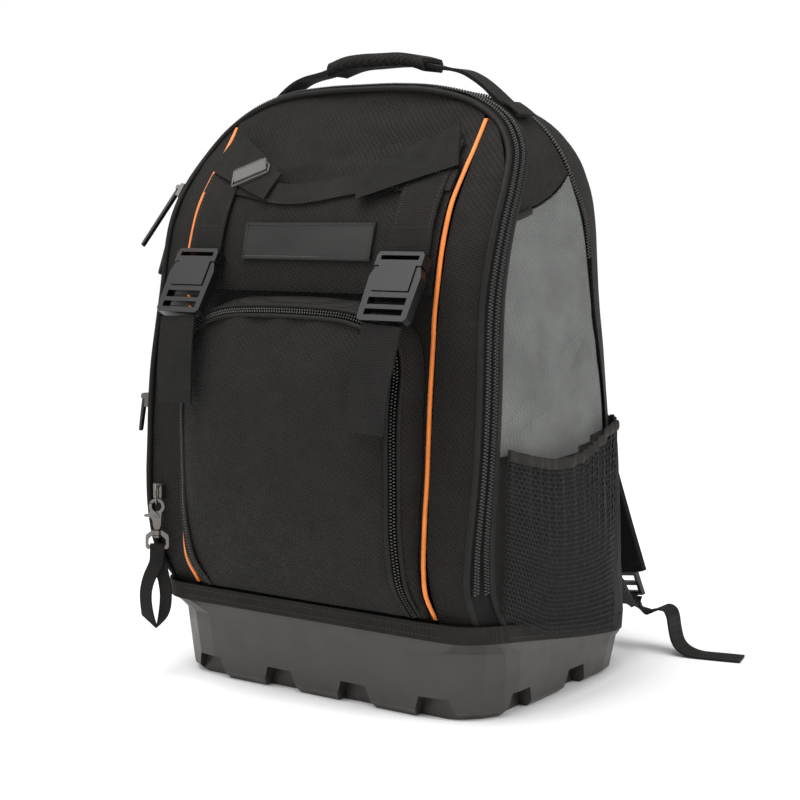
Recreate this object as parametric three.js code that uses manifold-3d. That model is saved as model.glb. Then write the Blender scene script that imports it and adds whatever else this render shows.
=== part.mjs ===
// Tool backpack that stands on a moulded base tub.
// Millimetres, +Z up, the front of the bag faces -Y, and the origin lies on the floor
// under the centre of the tub's flat underside.

import * as THREE from 'three';
import Module from 'manifold-3d';

const wasm = await Module();
wasm.setup();

// Clearances
const seatGap = 0.35; // between a piece and what it is sewn or seated on
const layerGap = 0.8; // between curved layers of cloth
const seamGap = 0.8; // between two panels that meet edge to edge

// Body shell
const bodyTop = 528;
const archSpring = 400; // height at which the sides start to turn into the top
const bodyHalfWidth = 177.5;
const bodyDepth = 280;
const rearCorner = 56;
const sideSwell = 5;
const pipingX = 134;
const pipingTop = 497;

// Base tub
const tubHalfWidth = bodyHalfWidth;
const tubFront = -bodyDepth / 2 - 2;
const tubRear = bodyDepth / 2 - 4;
const tubFrontCorner = 36; // corner radius of the rim under the hem
const tubRearCorner = 56;
const tubWallCorner = 60; // corner radius of the wall below the rim
const tubTaper = 6; // how far the wall leans in from the rim to the floor
const tubFootChamfer = 6;
const tubWall = 3;
const rimFrontHeight = 70;
const rimRearHeight = 38;
const rimTuck = 7; // how far the rim stands up behind the hem
const lugHeight = 19.5;
const lugPitch = 81;
const lugOffset = -38; // middle of the notch left of the centre line
const notchTop = 26;
const notchFlare = 7;
const notchDepth = 13;
const sideLugPitch = 92;
const sideLugOffset = -72;

// Cloth
const cloth = 1.8;
const hemHeight = 15;
const hemThickness = 2.2;
const pipingRadius = 1.5;

// Zips
const tapeWidth = 19;
const tapeThickness = 1.2;
const chainWidth = 5.4;
const chainHeight = 2.2;
const frontChainPlace = 4.2; // from the front edge of the tape to the middle of the chain
const rearChainPlace = 13.8;
const rearZipWidth = 8;

// Front pocket
const pocketHalfWidth = 124;
const pocketTop = 350;
const pocketSpring = 285;
const pocketDepth = 46;
const pocketZipInset = 11; // from the pocket's edge to its zip

// Slip pocket and patch
const slipHem = 453; // height of its mouth beside the straps
const slipDroop = 13;
const slipGape = 9;
const slipHemWidth = 15;
const patchWidth = 136;
const patchHeight = 31;
const patchX = 3;
const patchZ = 396;
const patchThickness = 2.4;

// Webbing and buckles on the front
const webWidth = 38;
const webThickness = 2;
const strapX = 108;
const buckleTopZ = 386;
const buckleLength = 62;
const buckleWidth = 48;
const buckleThickness = 11;
const buckleLean = 31; // degrees from upright
const buckleStand = 9.8; // how far the middle of its top stands in front of the shell
const tailLength = 86;
const loopFoldX = 114;
const loopFoldZ = 479;
const loopEndX = 44;
const loopEndZ = 450;

// Side pockets of net
const netFront = tubFront + 21;
const netRear = bodyDepth / 4;
const netTop = 230;
const netSag = 17;
const netSwell = 13;
const netThickness = 1.4;
const netStandOff = 4.2;
const netBindingWidth = 9;
const netColumns = 7;
const netRows = 4;
const wingTop = 236;

// Carry handle
const handleWidth = 24;
const handleThickness = 3;
const handleY = -29;
const handleRise = 28.5; // top of the webbing above the bag
const gripLength = 128;
const gripWall = 3;

// Shoulder straps
const padWidth = 62;
const padThickness = 11;
const lowerWebWidth = 25;
const lowerWebThickness = 1.8;

// Zip sliders and pulls
const sliderLength = 13;
const sliderWidth = 10;
const sliderPlate = 2; // thickness of the plate over the chain
const pinRadius = 1.1;
const pinClearance = 0.4;
const eyeWall = 1.5;
const pullWidth = 4;
const pullLength = 64;
const pullThickness = 2.4;

// Lanyard
const lanyardX = 21 - tubHalfWidth;
const lanyardY = tubFront - 21.5;
const lanyardZ = 157; // middle of the hook's jaw
const lanyardTurn = 35; // degrees that its flat side is turned from facing the front
const jawRadius = 7.2;
const jawWall = 2.6;
const hookThickness = 3;
const hookLength = 21; // from the middle of the jaw to the end of the body
const gatePinX = -1.5;
const gatePinZ = -10;
const gateThickness = 1.5;
const swivelRadius = 1.6;
const ringWidth = 21;
const ringHeight = 17;
const ringThickness = 2.4;
const ringBar = 2.4;
const wireRadius = 0.9;
const loopWebWidth = 12.8;
const loopWebThickness = 1.6;
const loopDrop = 111; // from the middle of the jaw to the lowest point of the wrist loop

const vec = (x, y, z) => new THREE.Vector3(x, y, z);
const mix = THREE.MathUtils.lerp;
const clamp = THREE.MathUtils.clamp;

// Smooth line through rows of [share, share], scaled by two named sizes.
function lineThrough(rows, inSize, outSize) {
  const knots = rows.map(([a, b]) => [a * inSize, b * outSize]);
  const slopeAt = (i) => {
    const lo = knots[Math.max(i - 1, 0)];
    const hi = knots[Math.min(i + 1, knots.length - 1)];
    return (hi[1] - lo[1]) / (hi[0] - lo[0]);
  };
  return (value) => {
    const v = clamp(value, knots[0][0], knots[knots.length - 1][0]);
    let i = 0;
    while (i < knots.length - 2 && v > knots[i + 1][0]) i += 1;
    const [a, fa] = knots[i];
    const [b, fb] = knots[i + 1];
    const span = b - a;
    const t = (v - a) / span;
    const ta = slopeAt(i) * span;
    const tb = slopeAt(i + 1) * span;
    const t2 = t * t;
    const t3 = t2 * t;
    return (2 * t3 - 3 * t2 + 1) * fa + (t3 - 2 * t2 + t) * ta + (3 * t2 - 2 * t3) * fb + (t3 - t2) * tb;
  };
}

// Body of points and triangles, turned so that its faces point out.
function solidFrom(points, faces) {
  let volume = 0;
  const cross = vec(0, 0, 0);
  for (const [a, b, c] of faces) {
    cross.crossVectors(points[b], points[c]);
    volume += points[a].dot(cross);
  }
  const turned = volume < 0 ? faces.map(([a, b, c]) => [a, c, b]) : faces;
  const geometry = new THREE.BufferGeometry().setFromPoints(points);
  geometry.setIndex(turned.flat());
  return geometry;
}

// Wall between two grids of points. wrap closes the grid on itself along its first side.
function sheet(columns, rows, outer, inner, wrap = false) {
  const points = [];
  const across = wrap ? columns : columns + 1;
  for (const side of [outer, inner]) {
    for (let i = 0; i < across; i += 1) {
      for (let j = 0; j <= rows; j += 1) points.push(side(i / columns, j / rows));
    }
  }
  const at = (side, i, j) => side * across * (rows + 1) + (i % across) * (rows + 1) + j;
  const faces = [];
  const quad = (a, b, c, d) => faces.push([a, b, c], [a, c, d]);
  for (let i = 0; i < columns; i += 1) {
    for (let j = 0; j < rows; j += 1) {
      quad(at(0, i, j), at(0, i + 1, j), at(0, i + 1, j + 1), at(0, i, j + 1));
      quad(at(1, i, j), at(1, i, j + 1), at(1, i + 1, j + 1), at(1, i + 1, j));
    }
    quad(at(0, i, 0), at(1, i, 0), at(1, i + 1, 0), at(0, i + 1, 0));
    quad(at(0, i, rows), at(0, i + 1, rows), at(1, i + 1, rows), at(1, i, rows));
  }
  if (!wrap) {
    for (let j = 0; j < rows; j += 1) {
      quad(at(0, 0, j), at(0, 0, j + 1), at(1, 0, j + 1), at(1, 0, j));
      quad(at(0, columns, j), at(1, columns, j), at(1, columns, j + 1), at(0, columns, j + 1));
    }
  }
  return solidFrom(points, faces);
}

// Body through rings of points, closed at both ends, or on itself.
function loft(rings, closed = false) {
  const size = rings[0].length;
  const points = rings.flat();
  const faces = [];
  const steps = closed ? rings.length : rings.length - 1;
  for (let k = 0; k < steps; k += 1) {
    const a = k * size;
    const b = ((k + 1) % rings.length) * size;
    for (let i = 0; i < size; i += 1) {
      const n = (i + 1) % size;
      faces.push([a + i, a + n, b + n], [a + i, b + n, b + i]);
    }
  }
  if (!closed) {
    const last = (rings.length - 1) * size;
    for (let i = 1; i < size - 1; i += 1) {
      faces.push([0, i + 1, i], [last, last + i, last + i + 1]);
    }
  }
  return solidFrom(points, faces);
}

// Section carried along a path. side(t) gives the direction of the section's first axis.
function sweep(path, section, side, closed = false) {
  const rings = path.map((point, i) => {
    const last = path.length - 1;
    const before = closed ? path[(i + last) % path.length] : path[Math.max(i - 1, 0)];
    const after = closed ? path[(i + 1) % path.length] : path[Math.min(i + 1, last)];
    const along = after.clone().sub(before).normalize();
    const across = side(i / last);
    across.addScaledVector(along, -across.dot(along)).normalize();
    const up = vec(0, 0, 0).crossVectors(across, along);
    return section.map(([a, b]) => point.clone().addScaledVector(across, a).addScaledVector(up, b));
  });
  return loft(rings, closed);
}

const flatSection = (width, thickness) => [
  [-width / 2, -thickness / 2], [width / 2, -thickness / 2],
  [width / 2, thickness / 2], [-width / 2, thickness / 2],
];

const padSection = (width, thickness) => [
  [-width / 2, -thickness * 0.2], [-width * 0.42, -thickness / 2], [width * 0.42, -thickness / 2],
  [width / 2, -thickness * 0.2], [width / 2, thickness * 0.2], [width * 0.42, thickness / 2],
  [-width * 0.42, thickness / 2], [-width / 2, thickness * 0.2],
];

function roundSection(radius, sides) {
  return Array.from({ length: sides }, (_, i) => {
    const a = (i / sides) * 2 * Math.PI;
    return [radius * Math.cos(a), radius * Math.sin(a)];
  });
}

// Smooth path through chosen points
function pathThrough(points, steps) {
  return new THREE.CatmullRomCurve3(points, false, 'centripetal').getSpacedPoints(steps);
}

// Joins and cuts
function toManifold(geometry) {
  const { Manifold, Mesh } = wasm;
  const position = geometry.getAttribute('position');
  return new Manifold(new Mesh({
    numProp: 3,
    vertProperties: new Float32Array(position.array),
    triVerts: new Uint32Array(geometry.index.array),
  }));
}

function fromManifold(solid) {
  const mesh = solid.getMesh();
  const geometry = new THREE.BufferGeometry();
  geometry.setAttribute('position', new THREE.BufferAttribute(new Float32Array(mesh.vertProperties), 3));
  geometry.setIndex(new THREE.BufferAttribute(new Uint32Array(mesh.triVerts), 1));
  return geometry;
}

function joined(parts) {
  const solids = parts.map(toManifold);
  return fromManifold(solids.slice(1).reduce((sum, solid) => sum.add(solid), solids[0]));
}

function cut(body, tools) {
  return fromManifold(tools.reduce((left, tool) => left.subtract(toManifold(tool)), toManifold(body)));
}

// Flat outline given thickness, centred on its middle plane
function plate(outline, holes, thickness) {
  const loop = (rows) => {
    const points = rows.map(([x, y]) => new THREE.Vector2(x, y));
    return THREE.ShapeUtils.isClockWise(points) ? points.reverse() : points;
  };
  const shape = new THREE.Shape(loop(outline));
  for (const hole of holes) shape.holes.push(new THREE.Path(loop(hole)));
  const raw = new THREE.ExtrudeGeometry(shape, { depth: thickness, bevelEnabled: false });
  raw.translate(0, 0, -thickness / 2);
  return weld(raw);
}

// Same shape with its corners shared, which booleans need
function weld(geometry) {
  const position = geometry.getAttribute('position');
  const seen = new Map();
  const points = [];
  const order = [];
  const count = geometry.index ? geometry.index.count : position.count;
  for (let i = 0; i < count; i += 1) {
    const k = geometry.index ? geometry.index.getX(i) : i;
    const p = vec(position.getX(k), position.getY(k), position.getZ(k));
    const key = [p.x, p.y, p.z].map((value) => Math.round(value * 1e4)).join(' ');
    if (!seen.has(key)) seen.set(key, points.push(p) - 1);
    order.push(seen.get(key));
  }
  const faces = [];
  for (let i = 0; i < order.length; i += 3) faces.push(order.slice(i, i + 3));
  return solidFrom(points, faces);
}

const group = new THREE.Group();

function add(name, geometry, colour, roughness, metalness = 0) {
  const material = new THREE.MeshStandardMaterial({ color: colour, roughness, metalness });
  const mesh = new THREE.Mesh(geometry, material);
  mesh.name = name;
  group.add(mesh);
}

const black = 0x1b1918;
const blackWeb = 0x201e1d;
const grey = 0x777a76;
const tubBrown = 0x45403c;
const orange = 0xe8862a;
const plastic = 0x141414;
const chainBlack = 0x161616;
const gunmetal = 0x55524e;

// Main lines of the body, as shares of its height and depth

// Edge where the front meets the main zip
const zipLine = lineThrough([
  [0.140, -0.466], [0.163, -0.466], [0.190, -0.506], [0.227, -0.540], [0.305, -0.550],
  [0.384, -0.536], [0.545, -0.511], [0.701, -0.464], [0.792, -0.411], [0.830, -0.371],
  [0.869, -0.318], [0.911, -0.271], [0.962, -0.236], [1.000, -0.239],
], bodyTop, bodyDepth);

// Back panel
const backLine = lineThrough([
  [0.070, 0.486], [0.114, 0.482], [0.189, 0.464], [0.290, 0.443], [0.434, 0.407],
  [0.506, 0.386], [0.593, 0.368], [0.731, 0.339], [0.816, 0.311], [0.900, 0.268], [1.000, 0.160],
], bodyTop, bodyDepth);

// Seam between the side panels and the rear compartment
const seamLine = lineThrough([
  [0.070, 0.230], [0.453, 0.208], [0.506, 0.194], [0.633, 0.145], [0.748, 0.112], [0.797, 0.075],
  [0.841, 0.027], [0.875, 0.005], [0.909, -0.012], [0.939, -0.022], [1.000, -0.026],
], bodyTop, bodyDepth);

// Half width of the body below the arch
const widthLine = lineThrough([
  [0.070, 1.000], [0.163, 1.000], [0.305, 0.997], [0.466, 1.003], [0.545, 0.997],
  [0.638, 0.978], [0.701, 0.976], [0.758, 0.986], [1.000, 0.986],
], bodyTop, bodyHalfWidth);

// How far the zip edge stands in from the side, as a share of the body's half width
const edgeInset = lineThrough([
  [0.140, 0.068], [0.163, 0.068], [0.227, 0.038], [0.305, 0.012], [0.384, 0.002], [1.000, 0.000],
], bodyTop, bodyHalfWidth);

// How far the front stands out from the zip edge, as a share of the body's depth
const frontSwell = lineThrough([
  [0.140, 0.032], [0.163, 0.032], [0.190, 0.027], [0.305, 0.004], [0.545, 0.012], [0.625, 0.024],
  [0.701, 0.058], [0.860, 0.062], [0.911, 0.046], [0.950, 0.020], [1.000, 0.000],
], bodyTop, bodyDepth);

// Height of the tub's rim, which dips towards the back
const rimLine = lineThrough([
  [-0.55, 1.00], [-0.43, 1.00], [-0.20, 0.70], [0.09, 0.28], [0.30, 0.06], [0.45, 0.00], [0.55, 0.00],
], bodyDepth, rimFrontHeight - rimRearHeight);
const rimHeight = (y) => rimRearHeight + rimLine(y);
const clothBottom = (y) => rimHeight(y) + rimTuck + 2.5 * seamGap;

// Arch that the front, the gusset and the back share
const archPower = 3;
const archSamples = 48;
const archTable = (() => {
  const points = Array.from({ length: archSamples * 8 + 1 }, (_, i) => {
    const a = (i / (archSamples * 8)) * (Math.PI / 2);
    return [Math.sin(a) ** (2 / archPower), Math.cos(a) ** (2 / archPower)];
  });
  const lengths = [0];
  for (let i = 1; i < points.length; i += 1) {
    const step = Math.hypot(points[i][0] - points[i - 1][0], points[i][1] - points[i - 1][1]);
    lengths.push(lengths[i - 1] + step);
  }
  const total = lengths[lengths.length - 1];
  return Array.from({ length: archSamples + 1 }, (_, k) => {
    const want = (k / archSamples) * total;
    let i = 0;
    while (i < lengths.length - 2 && lengths[i + 1] < want) i += 1;
    const t = (want - lengths[i]) / (lengths[i + 1] - lengths[i]);
    return [mix(points[i][0], points[i + 1][0], t), mix(points[i][1], points[i + 1][1], t)];
  });
})();

function archShare(t) {
  const place = clamp(t, 0, 1) * archSamples;
  const i = Math.min(Math.floor(place), archSamples - 1);
  return [0, 1].map((k) => mix(archTable[i][k], archTable[i + 1][k], place - i));
}

// Share of the half arch, from the middle of the top to the floor, that its round part takes
const roundPart = 0.44;

// How far along the round part of the arch a height lies
function archPlace(share) {
  let lo = 0;
  let hi = 1;
  for (let k = 0; k < 30; k += 1) {
    const mid = (lo + hi) / 2;
    if (archShare(mid)[1] > share) lo = mid;
    else hi = mid;
  }
  return (lo + hi) / 2;
}

// Half width and top of the arch, drawn in by an inset
const archHalfWidth = (z, inset = 0) => {
  const rise = bodyTop - archSpring - inset;
  const share = clamp((z - archSpring) / rise, 0, 1);
  return (widthLine(z) - inset) * (1 - share ** archPower) ** (1 / archPower);
};
const archTopAt = (x, inset = 0) => {
  const share = clamp(Math.abs(x) / (widthLine(archSpring) - inset), 0, 1);
  return archSpring + (bodyTop - archSpring - inset) * (1 - share ** archPower) ** (1 / archPower);
};

// Point on the gusset. s runs from -1, low on the left, over the top to 1, low on the right.
// w runs from 0 at the zip edge to 1 where the rear corner starts, and to 2 at the back panel.
function gusset(s, w) {
  const side = Math.sign(s) || 1;
  const far = Math.abs(s);
  const turn = clamp(w - 1, 0, 1) * (Math.PI / 2);
  const inset = rearCorner * (1 - Math.cos(turn));
  const bottomY = mix(zipLine(0), backLine(0) - rearCorner, clamp(w, 0, 1)) + rearCorner * Math.sin(turn);
  const bottom = clothBottom(bottomY);
  let z;
  let x;
  let innerZ;
  if (far < roundPart) {
    const [a, b] = archShare(far / roundPart);
    z = archSpring + (bodyTop - archSpring - inset) * b;
    x = (widthLine(archSpring) - inset) * a;
    innerZ = archSpring + (bodyTop - archSpring - rearCorner) * b;
  } else {
    z = mix(archSpring, bottom, (far - roundPart) / (1 - roundPart));
    x = widthLine(z) - inset;
    innerZ = z;
  }
  const outerZ = far < roundPart ? archSpring + (z - archSpring) / (1 - inset / (bodyTop - archSpring)) : z;
  const rear = backLine(innerZ) - rearCorner;
  const y = mix(zipLine(outerZ), rear, clamp(w, 0, 1)) + rearCorner * Math.sin(turn);
  const nearZip = clamp(1 - w / 0.12, 0, 1) ** 2;
  const fade = clamp((archSpring - z) / 60, 0, 1) * clamp((z - bottom - hemHeight) / 50, 0, 1);
  const swell = sideSwell * Math.sin(Math.PI * clamp(w, 0, 1)) * fade;
  return vec(side * (x - edgeInset(z) * nearZip + swell), y, z);
}

// Point off the gusset by a distance, outwards when positive
function gussetOff(s, w, off) {
  const d = 0.004;
  const p = gusset(s, w);
  const along = gusset(Math.min(s + d, 1), w).sub(gusset(Math.max(s - d, -1), w));
  const back = gusset(s, Math.min(w + d, 2)).sub(gusset(s, Math.max(w - d, 0)));
  return p.addScaledVector(vec(0, 0, 0).crossVectors(along, back).normalize(), off);
}

// Place along the gusset of a height, on the right side
function placeOf(z, w) {
  if (z >= archSpring) return roundPart * archPlace((z - archSpring) / (bodyTop - archSpring));
  const y = mix(zipLine(0), backLine(0) - rearCorner, clamp(w, 0, 1));
  return mix(roundPart, 1, (archSpring - z) / (archSpring - clothBottom(y)));
}

// Share across the gusset of a distance back from the zip edge, and of a depth
function acrossOf(s, distance) {
  return distance / gusset(s, 0).distanceTo(gusset(s, 1));
}
function acrossAt(s, y) {
  const a = gusset(s, 0).y;
  const b = gusset(s, 1).y;
  if (y < b) return clamp((y - a) / (b - a), 0, 1);
  return 1 + Math.asin(clamp((y - b) / rearCorner, 0, 1)) / (Math.PI / 2);
}

// Strip of the gusset between two edges, each a function of s
function gussetStrip(from, to, edgeA, edgeB, columns, rows, top, thickness) {
  const point = (off) => (u, v) => {
    const s = mix(from, to, u);
    return gussetOff(s, mix(edgeA(s), edgeB(s), v), off);
  };
  return sheet(columns, rows, point(top), point(top - thickness));
}

// Depth of the front face, inside the zip edge
function frontY(x, z) {
  const half = Math.max(archHalfWidth(z) - edgeInset(z), 1);
  const share = clamp(Math.abs(x) / half, 0, 1);
  return zipLine(z) - frontSwell(z) * (1 - share ** 5);
}

// Tub: a tapered wall with lugs along its lower edge
function tubRing(lift, inset, frontCorner, rearCornerRadius, steps) {
  const half = tubHalfWidth - inset;
  const front = tubFront + inset;
  const rear = tubRear - inset;
  const corners = [
    [half - rearCornerRadius, rear - rearCornerRadius, rearCornerRadius, 0],
    [-half + rearCornerRadius, rear - rearCornerRadius, rearCornerRadius, 90],
    [-half + frontCorner, front + frontCorner, frontCorner, 180],
    [half - frontCorner, front + frontCorner, frontCorner, 270],
  ];
  const ring = [];
  corners.forEach(([cx, cy, radius, start], k) => {
    for (let i = 0; i <= steps; i += 1) {
      const a = THREE.MathUtils.degToRad(start + (90 * i) / steps);
      ring.push([cx + radius * Math.cos(a), cy + radius * Math.sin(a)]);
    }
    const [nx, ny, nextRadius, next] = corners[(k + 1) % 4];
    const a = THREE.MathUtils.degToRad(next);
    const end = [nx + nextRadius * Math.cos(a), ny + nextRadius * Math.sin(a)];
    const start2 = ring[ring.length - 1];
    for (let i = 1; i < 4; i += 1) ring.push([mix(start2[0], end[0], i / 4), mix(start2[1], end[1], i / 4)]);
  });
  return ring.map(([x, y]) => vec(x, y, lift(y)));
}

const cornerSteps = 5;
const wallRing = (share, inset, corner) => {
  const lift = (y) => share * rimHeight(y);
  return tubRing(lift, inset, corner, mix(corner, tubRearCorner, 0.6), cornerSteps);
};
const tubOutside = loft([
  wallRing(0, tubTaper + tubFootChamfer, tubWallCorner),
  wallRing(0.1, tubTaper, tubWallCorner),
  wallRing(0.84, 1.6, tubWallCorner),
  wallRing(0.93, 0.6, mix(tubFrontCorner, tubWallCorner, 0.5)),
  tubRing((y) => rimHeight(y), 0, tubFrontCorner, tubRearCorner, cornerSteps),
  tubRing((y) => rimHeight(y) + rimTuck, 0, tubFrontCorner, tubRearCorner, cornerSteps),
]);
const cavityFloor = tubWall;
const ledge = lugHeight + tubWall;
const pitInset = tubTaper + notchDepth + tubWall;
const tubCavity = loft([
  tubRing(() => ledge, tubTaper + tubWall, tubWallCorner, tubWallCorner, cornerSteps),
  tubRing((y) => rimHeight(y) * 0.84, 1.6 + tubWall, tubWallCorner, tubWallCorner, cornerSteps),
  tubRing((y) => rimHeight(y), tubWall, tubFrontCorner, tubRearCorner, cornerSteps),
  tubRing((y) => rimHeight(y) + 3 * rimTuck, tubWall, tubFrontCorner, tubRearCorner, cornerSteps),
]);
const tubPit = loft([
  tubRing(() => cavityFloor, pitInset, tubWallCorner, tubWallCorner, cornerSteps),
  tubRing(() => ledge + 1, pitInset, tubWallCorner, tubWallCorner, cornerSteps),
]);

// Notch between two lugs: wide at the floor, cut in from outside. angle turns it round the tub.
function notch(x, y, angle, reach) {
  const section = [
    [-notchTop / 2 - notchFlare, -1], [notchTop / 2 + notchFlare, -1],
    [notchTop / 2, lugHeight], [-notchTop / 2, lugHeight],
  ];
  const out = vec(Math.cos(angle), Math.sin(angle), 0);
  const across = vec(-out.y, out.x, 0);
  const ring = (distance) => section.map(([a, b]) => (
    vec(x, y, 0).addScaledVector(out, distance).addScaledVector(across, a).add(vec(0, 0, b))
  ));
  return loft([ring(-reach), ring(reach * 3)]);
}
const notches = [];
for (const k of [-1, 0, 1, 2]) {
  notches.push(notch(lugOffset + k * lugPitch, tubFront + tubTaper, -Math.PI / 2, notchDepth));
  notches.push(notch(lugOffset + k * lugPitch, tubRear - tubTaper, Math.PI / 2, notchDepth));
}
for (const k of [0, 1]) {
  const y = sideLugOffset + k * sideLugPitch;
  notches.push(notch(tubHalfWidth - tubTaper, y, 0, notchDepth));
  notches.push(notch(tubTaper - tubHalfWidth, y, Math.PI, notchDepth));
}
add('base_tub', cut(tubOutside, [tubCavity, tubPit, ...notches]), tubBrown, 0.62);

// Hem that binds the cloth to the tub
const hemPoint = (off) => (u, v) => {
  const belly = Math.sin(Math.PI * v) * 0.8;
  const grow = off + mix(0.7, 1.6, v) + (off > 0 ? belly : 0);
  const lift = (y) => rimHeight(y) + v * hemHeight;
  const ring = tubRing(lift, -grow, tubFrontCorner + grow, tubRearCorner + grow, cornerSteps);
  return ring[Math.round(u * ring.length) % ring.length];
};
const hemColumns = tubRing(() => 0, 0, tubFrontCorner, tubRearCorner, cornerSteps).length;
add('hem_band', sheet(hemColumns, 1, hemPoint(hemThickness), hemPoint(0), true), 0x2a2725, 0.85);

// Front panel between the two lines of piping
const pipingLine = lineThrough([
  [0.14, 0.963], [0.63, 0.972], [0.70, 1.000], [1.00, 1.000],
], bodyTop, pipingX);
const pipingEdge = pipingRadius + 1.4 * layerGap;
const spread = (t) => Math.sin((t * Math.PI) / 2);

// Share of the way up a panel whose first row ends where the hem does
const hemShare = (v, rows, height) => {
  const first = (hemHeight - rimTuck) / height;
  return v < 1 / rows ? v * rows * first : mix(first, 1, (v - 1 / rows) / (1 - 1 / rows));
};
const bodyRows = 12;
function frontPoint(u, v, off) {
  const t = spread(mix(-1, 1, u));
  const topX = t * (pipingX - pipingEdge);
  const top = Math.min(archTopAt(topX, 3.2), archTopAt(pipingX, 3.2) + Math.abs(pipingX - Math.abs(topX)));
  const low = clothBottom(tubFront);
  const z = mix(low, top, hemShare(v, bodyRows, top - low));
  const x = t * (pipingLine(z) - pipingEdge);
  return vec(x, frontY(x, z) - off, z);
}
const frontSheet = (off) => (u, v) => frontPoint(u, v, off);
add('front_panel', sheet(10, bodyRows, frontSheet(0), frontSheet(-cloth)), black, 0.9);

// Borders between the piping and the main zip
for (const [word, side] of [['left', -1], ['right', 1]]) {
  const borderPoint = (off) => (u, v) => {
    const low = clothBottom(tubFront);
    const z = mix(low, pipingTop, hemShare(v, bodyRows, pipingTop - low));
    const edge = archHalfWidth(z) - edgeInset(z) - tapeThickness - 2.4 * seamGap;
    const x = mix(pipingLine(z) + pipingEdge, edge, u);
    return vec(side * x, frontY(x, z) - off, z);
  };
  add(`front_border_${word}`, sheet(2, bodyRows, borderPoint(0), borderPoint(-cloth)), black, 0.9);

  const pipe = Array.from({ length: 19 }, (_, i) => {
    const z = mix(clothBottom(tubFront) + hemHeight - rimTuck, pipingTop, i / 18);
    const x = pipingLine(z);
    return vec(side * x, frontY(x, z) - 0.7, z);
  });
  add(`piping_${word}`, sweep(pipe, roundSection(pipingRadius, 5), () => vec(1, 0, 0)), orange, 0.6);
}

// Main zip: tape over the arch, and the two rows of its chain
const tapeEnd = 0.995;
const tapeColumns = 34;
const chainColumns = 32;
const chainEnd = (tapeEnd * chainColumns) / tapeColumns;
add('main_zip_tape', gussetStrip(-tapeEnd, tapeEnd, () => 0, (s) => acrossOf(s, tapeWidth), tapeColumns, 1, 0,
  tapeThickness), chainBlack, 0.9);
for (const [word, place] of [['front', frontChainPlace], ['rear', rearChainPlace]]) {
  const edge = (shift) => (s) => acrossOf(s, place + shift * chainWidth);
  add(`main_zip_chain_${word}`, gussetStrip(-chainEnd, chainEnd, edge(-0.5), edge(0.5), chainColumns, 1,
    layerGap + chainHeight, chainHeight), chainBlack, 0.35);
}

// Side panels, and the black top between them
const greyFront = 417;
const greyRear = 452;
const tapeEdge = (s) => acrossOf(s, tapeWidth + 2 * seamGap);
const seamEdge = (shift) => (s) => acrossAt(s, seamLine(gusset(s, 0.5).z) + shift);
const greyTop = (v) => placeOf(mix(greyFront, greyRear, v ** 1.4), v);
const sideRows = 10;
function sidePoint(side, off) {
  return (u, v) => {
    const top = greyTop(v) + 0.002;
    const s = mix(1, top, hemShare(u, sideRows, greyFront - rimFrontHeight));
    const w = mix(tapeEdge(s), seamEdge(-rearZipWidth / 2)(s), v);
    return gussetOff(side * s, w, off);
  };
}
add('side_panel_left', sheet(sideRows, 5, sidePoint(-1, 0), sidePoint(-1, -cloth)), grey, 0.9);
add('side_panel_right', sheet(sideRows, 5, sidePoint(1, 0), sidePoint(1, -cloth)), grey, 0.9);
const topPoint = (off) => (u, v) => {
  const top = greyTop(v) - 0.002;
  const s = mix(-top, top, u);
  return gussetOff(s, mix(tapeEdge(s), seamEdge(-rearZipWidth / 2)(s), v), off);
};
add('top_panel', sheet(20, 3, topPoint(0), topPoint(-cloth)), black, 0.9);

// Rear compartment: its zip in the seam, its gusset and the padded back panel
const rearTapeEdge = (share) => seamEdge((share - 0.5) * (rearZipWidth - 6.5 * seatGap));
const rearColumns = 34;
const rearChainColumns = 16;
add('rear_zip_tape', gussetStrip(-1, 1, rearTapeEdge(0), rearTapeEdge(1), rearColumns, 1, -2.4, tapeThickness),
  chainBlack, 0.9);
const rearChainEnd = rearChainColumns / rearColumns;
const rearChainEdge = (shift) => seamEdge(shift * chainWidth);
add('rear_zip_chain', gussetStrip(-rearChainEnd, rearChainEnd, rearChainEdge(-0.5), rearChainEdge(0.5),
  rearChainColumns, 1, layerGap + chainHeight - 2.4, chainHeight), chainBlack, 0.35);
add('rear_gusset', gussetStrip(-1, 1, seamEdge(rearZipWidth / 2), () => 2, rearColumns, 3, 0,
  cloth), black, 0.9);

const padThick = 9;
function backPoint(u, v, off) {
  const t = spread(mix(-1, 1, u));
  const inner = rearCorner + 2 * seamGap;
  const top = archTopAt(t * (widthLine(archSpring) - inner), inner);
  const z = mix(clothBottom(tubRear), top, v);
  const x = t * (widthLine(z) - inner);
  return vec(x, backLine(z) + off, z);
}
const backPad = (u, v) => {
  const lanes = Math.abs(Math.sin(Math.PI * 3 * u)) ** 0.5;
  const ends = Math.sin(Math.PI * clamp(v, 0, 1)) ** 0.4;
  return backPoint(u, v, padThick * lanes * ends * Math.min(1, 8 * Math.min(u, 1 - u)));
};
add('back_panel', sheet(12, 6, backPad, (u, v) => backPoint(u, v, -cloth)), black, 0.95);

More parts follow.
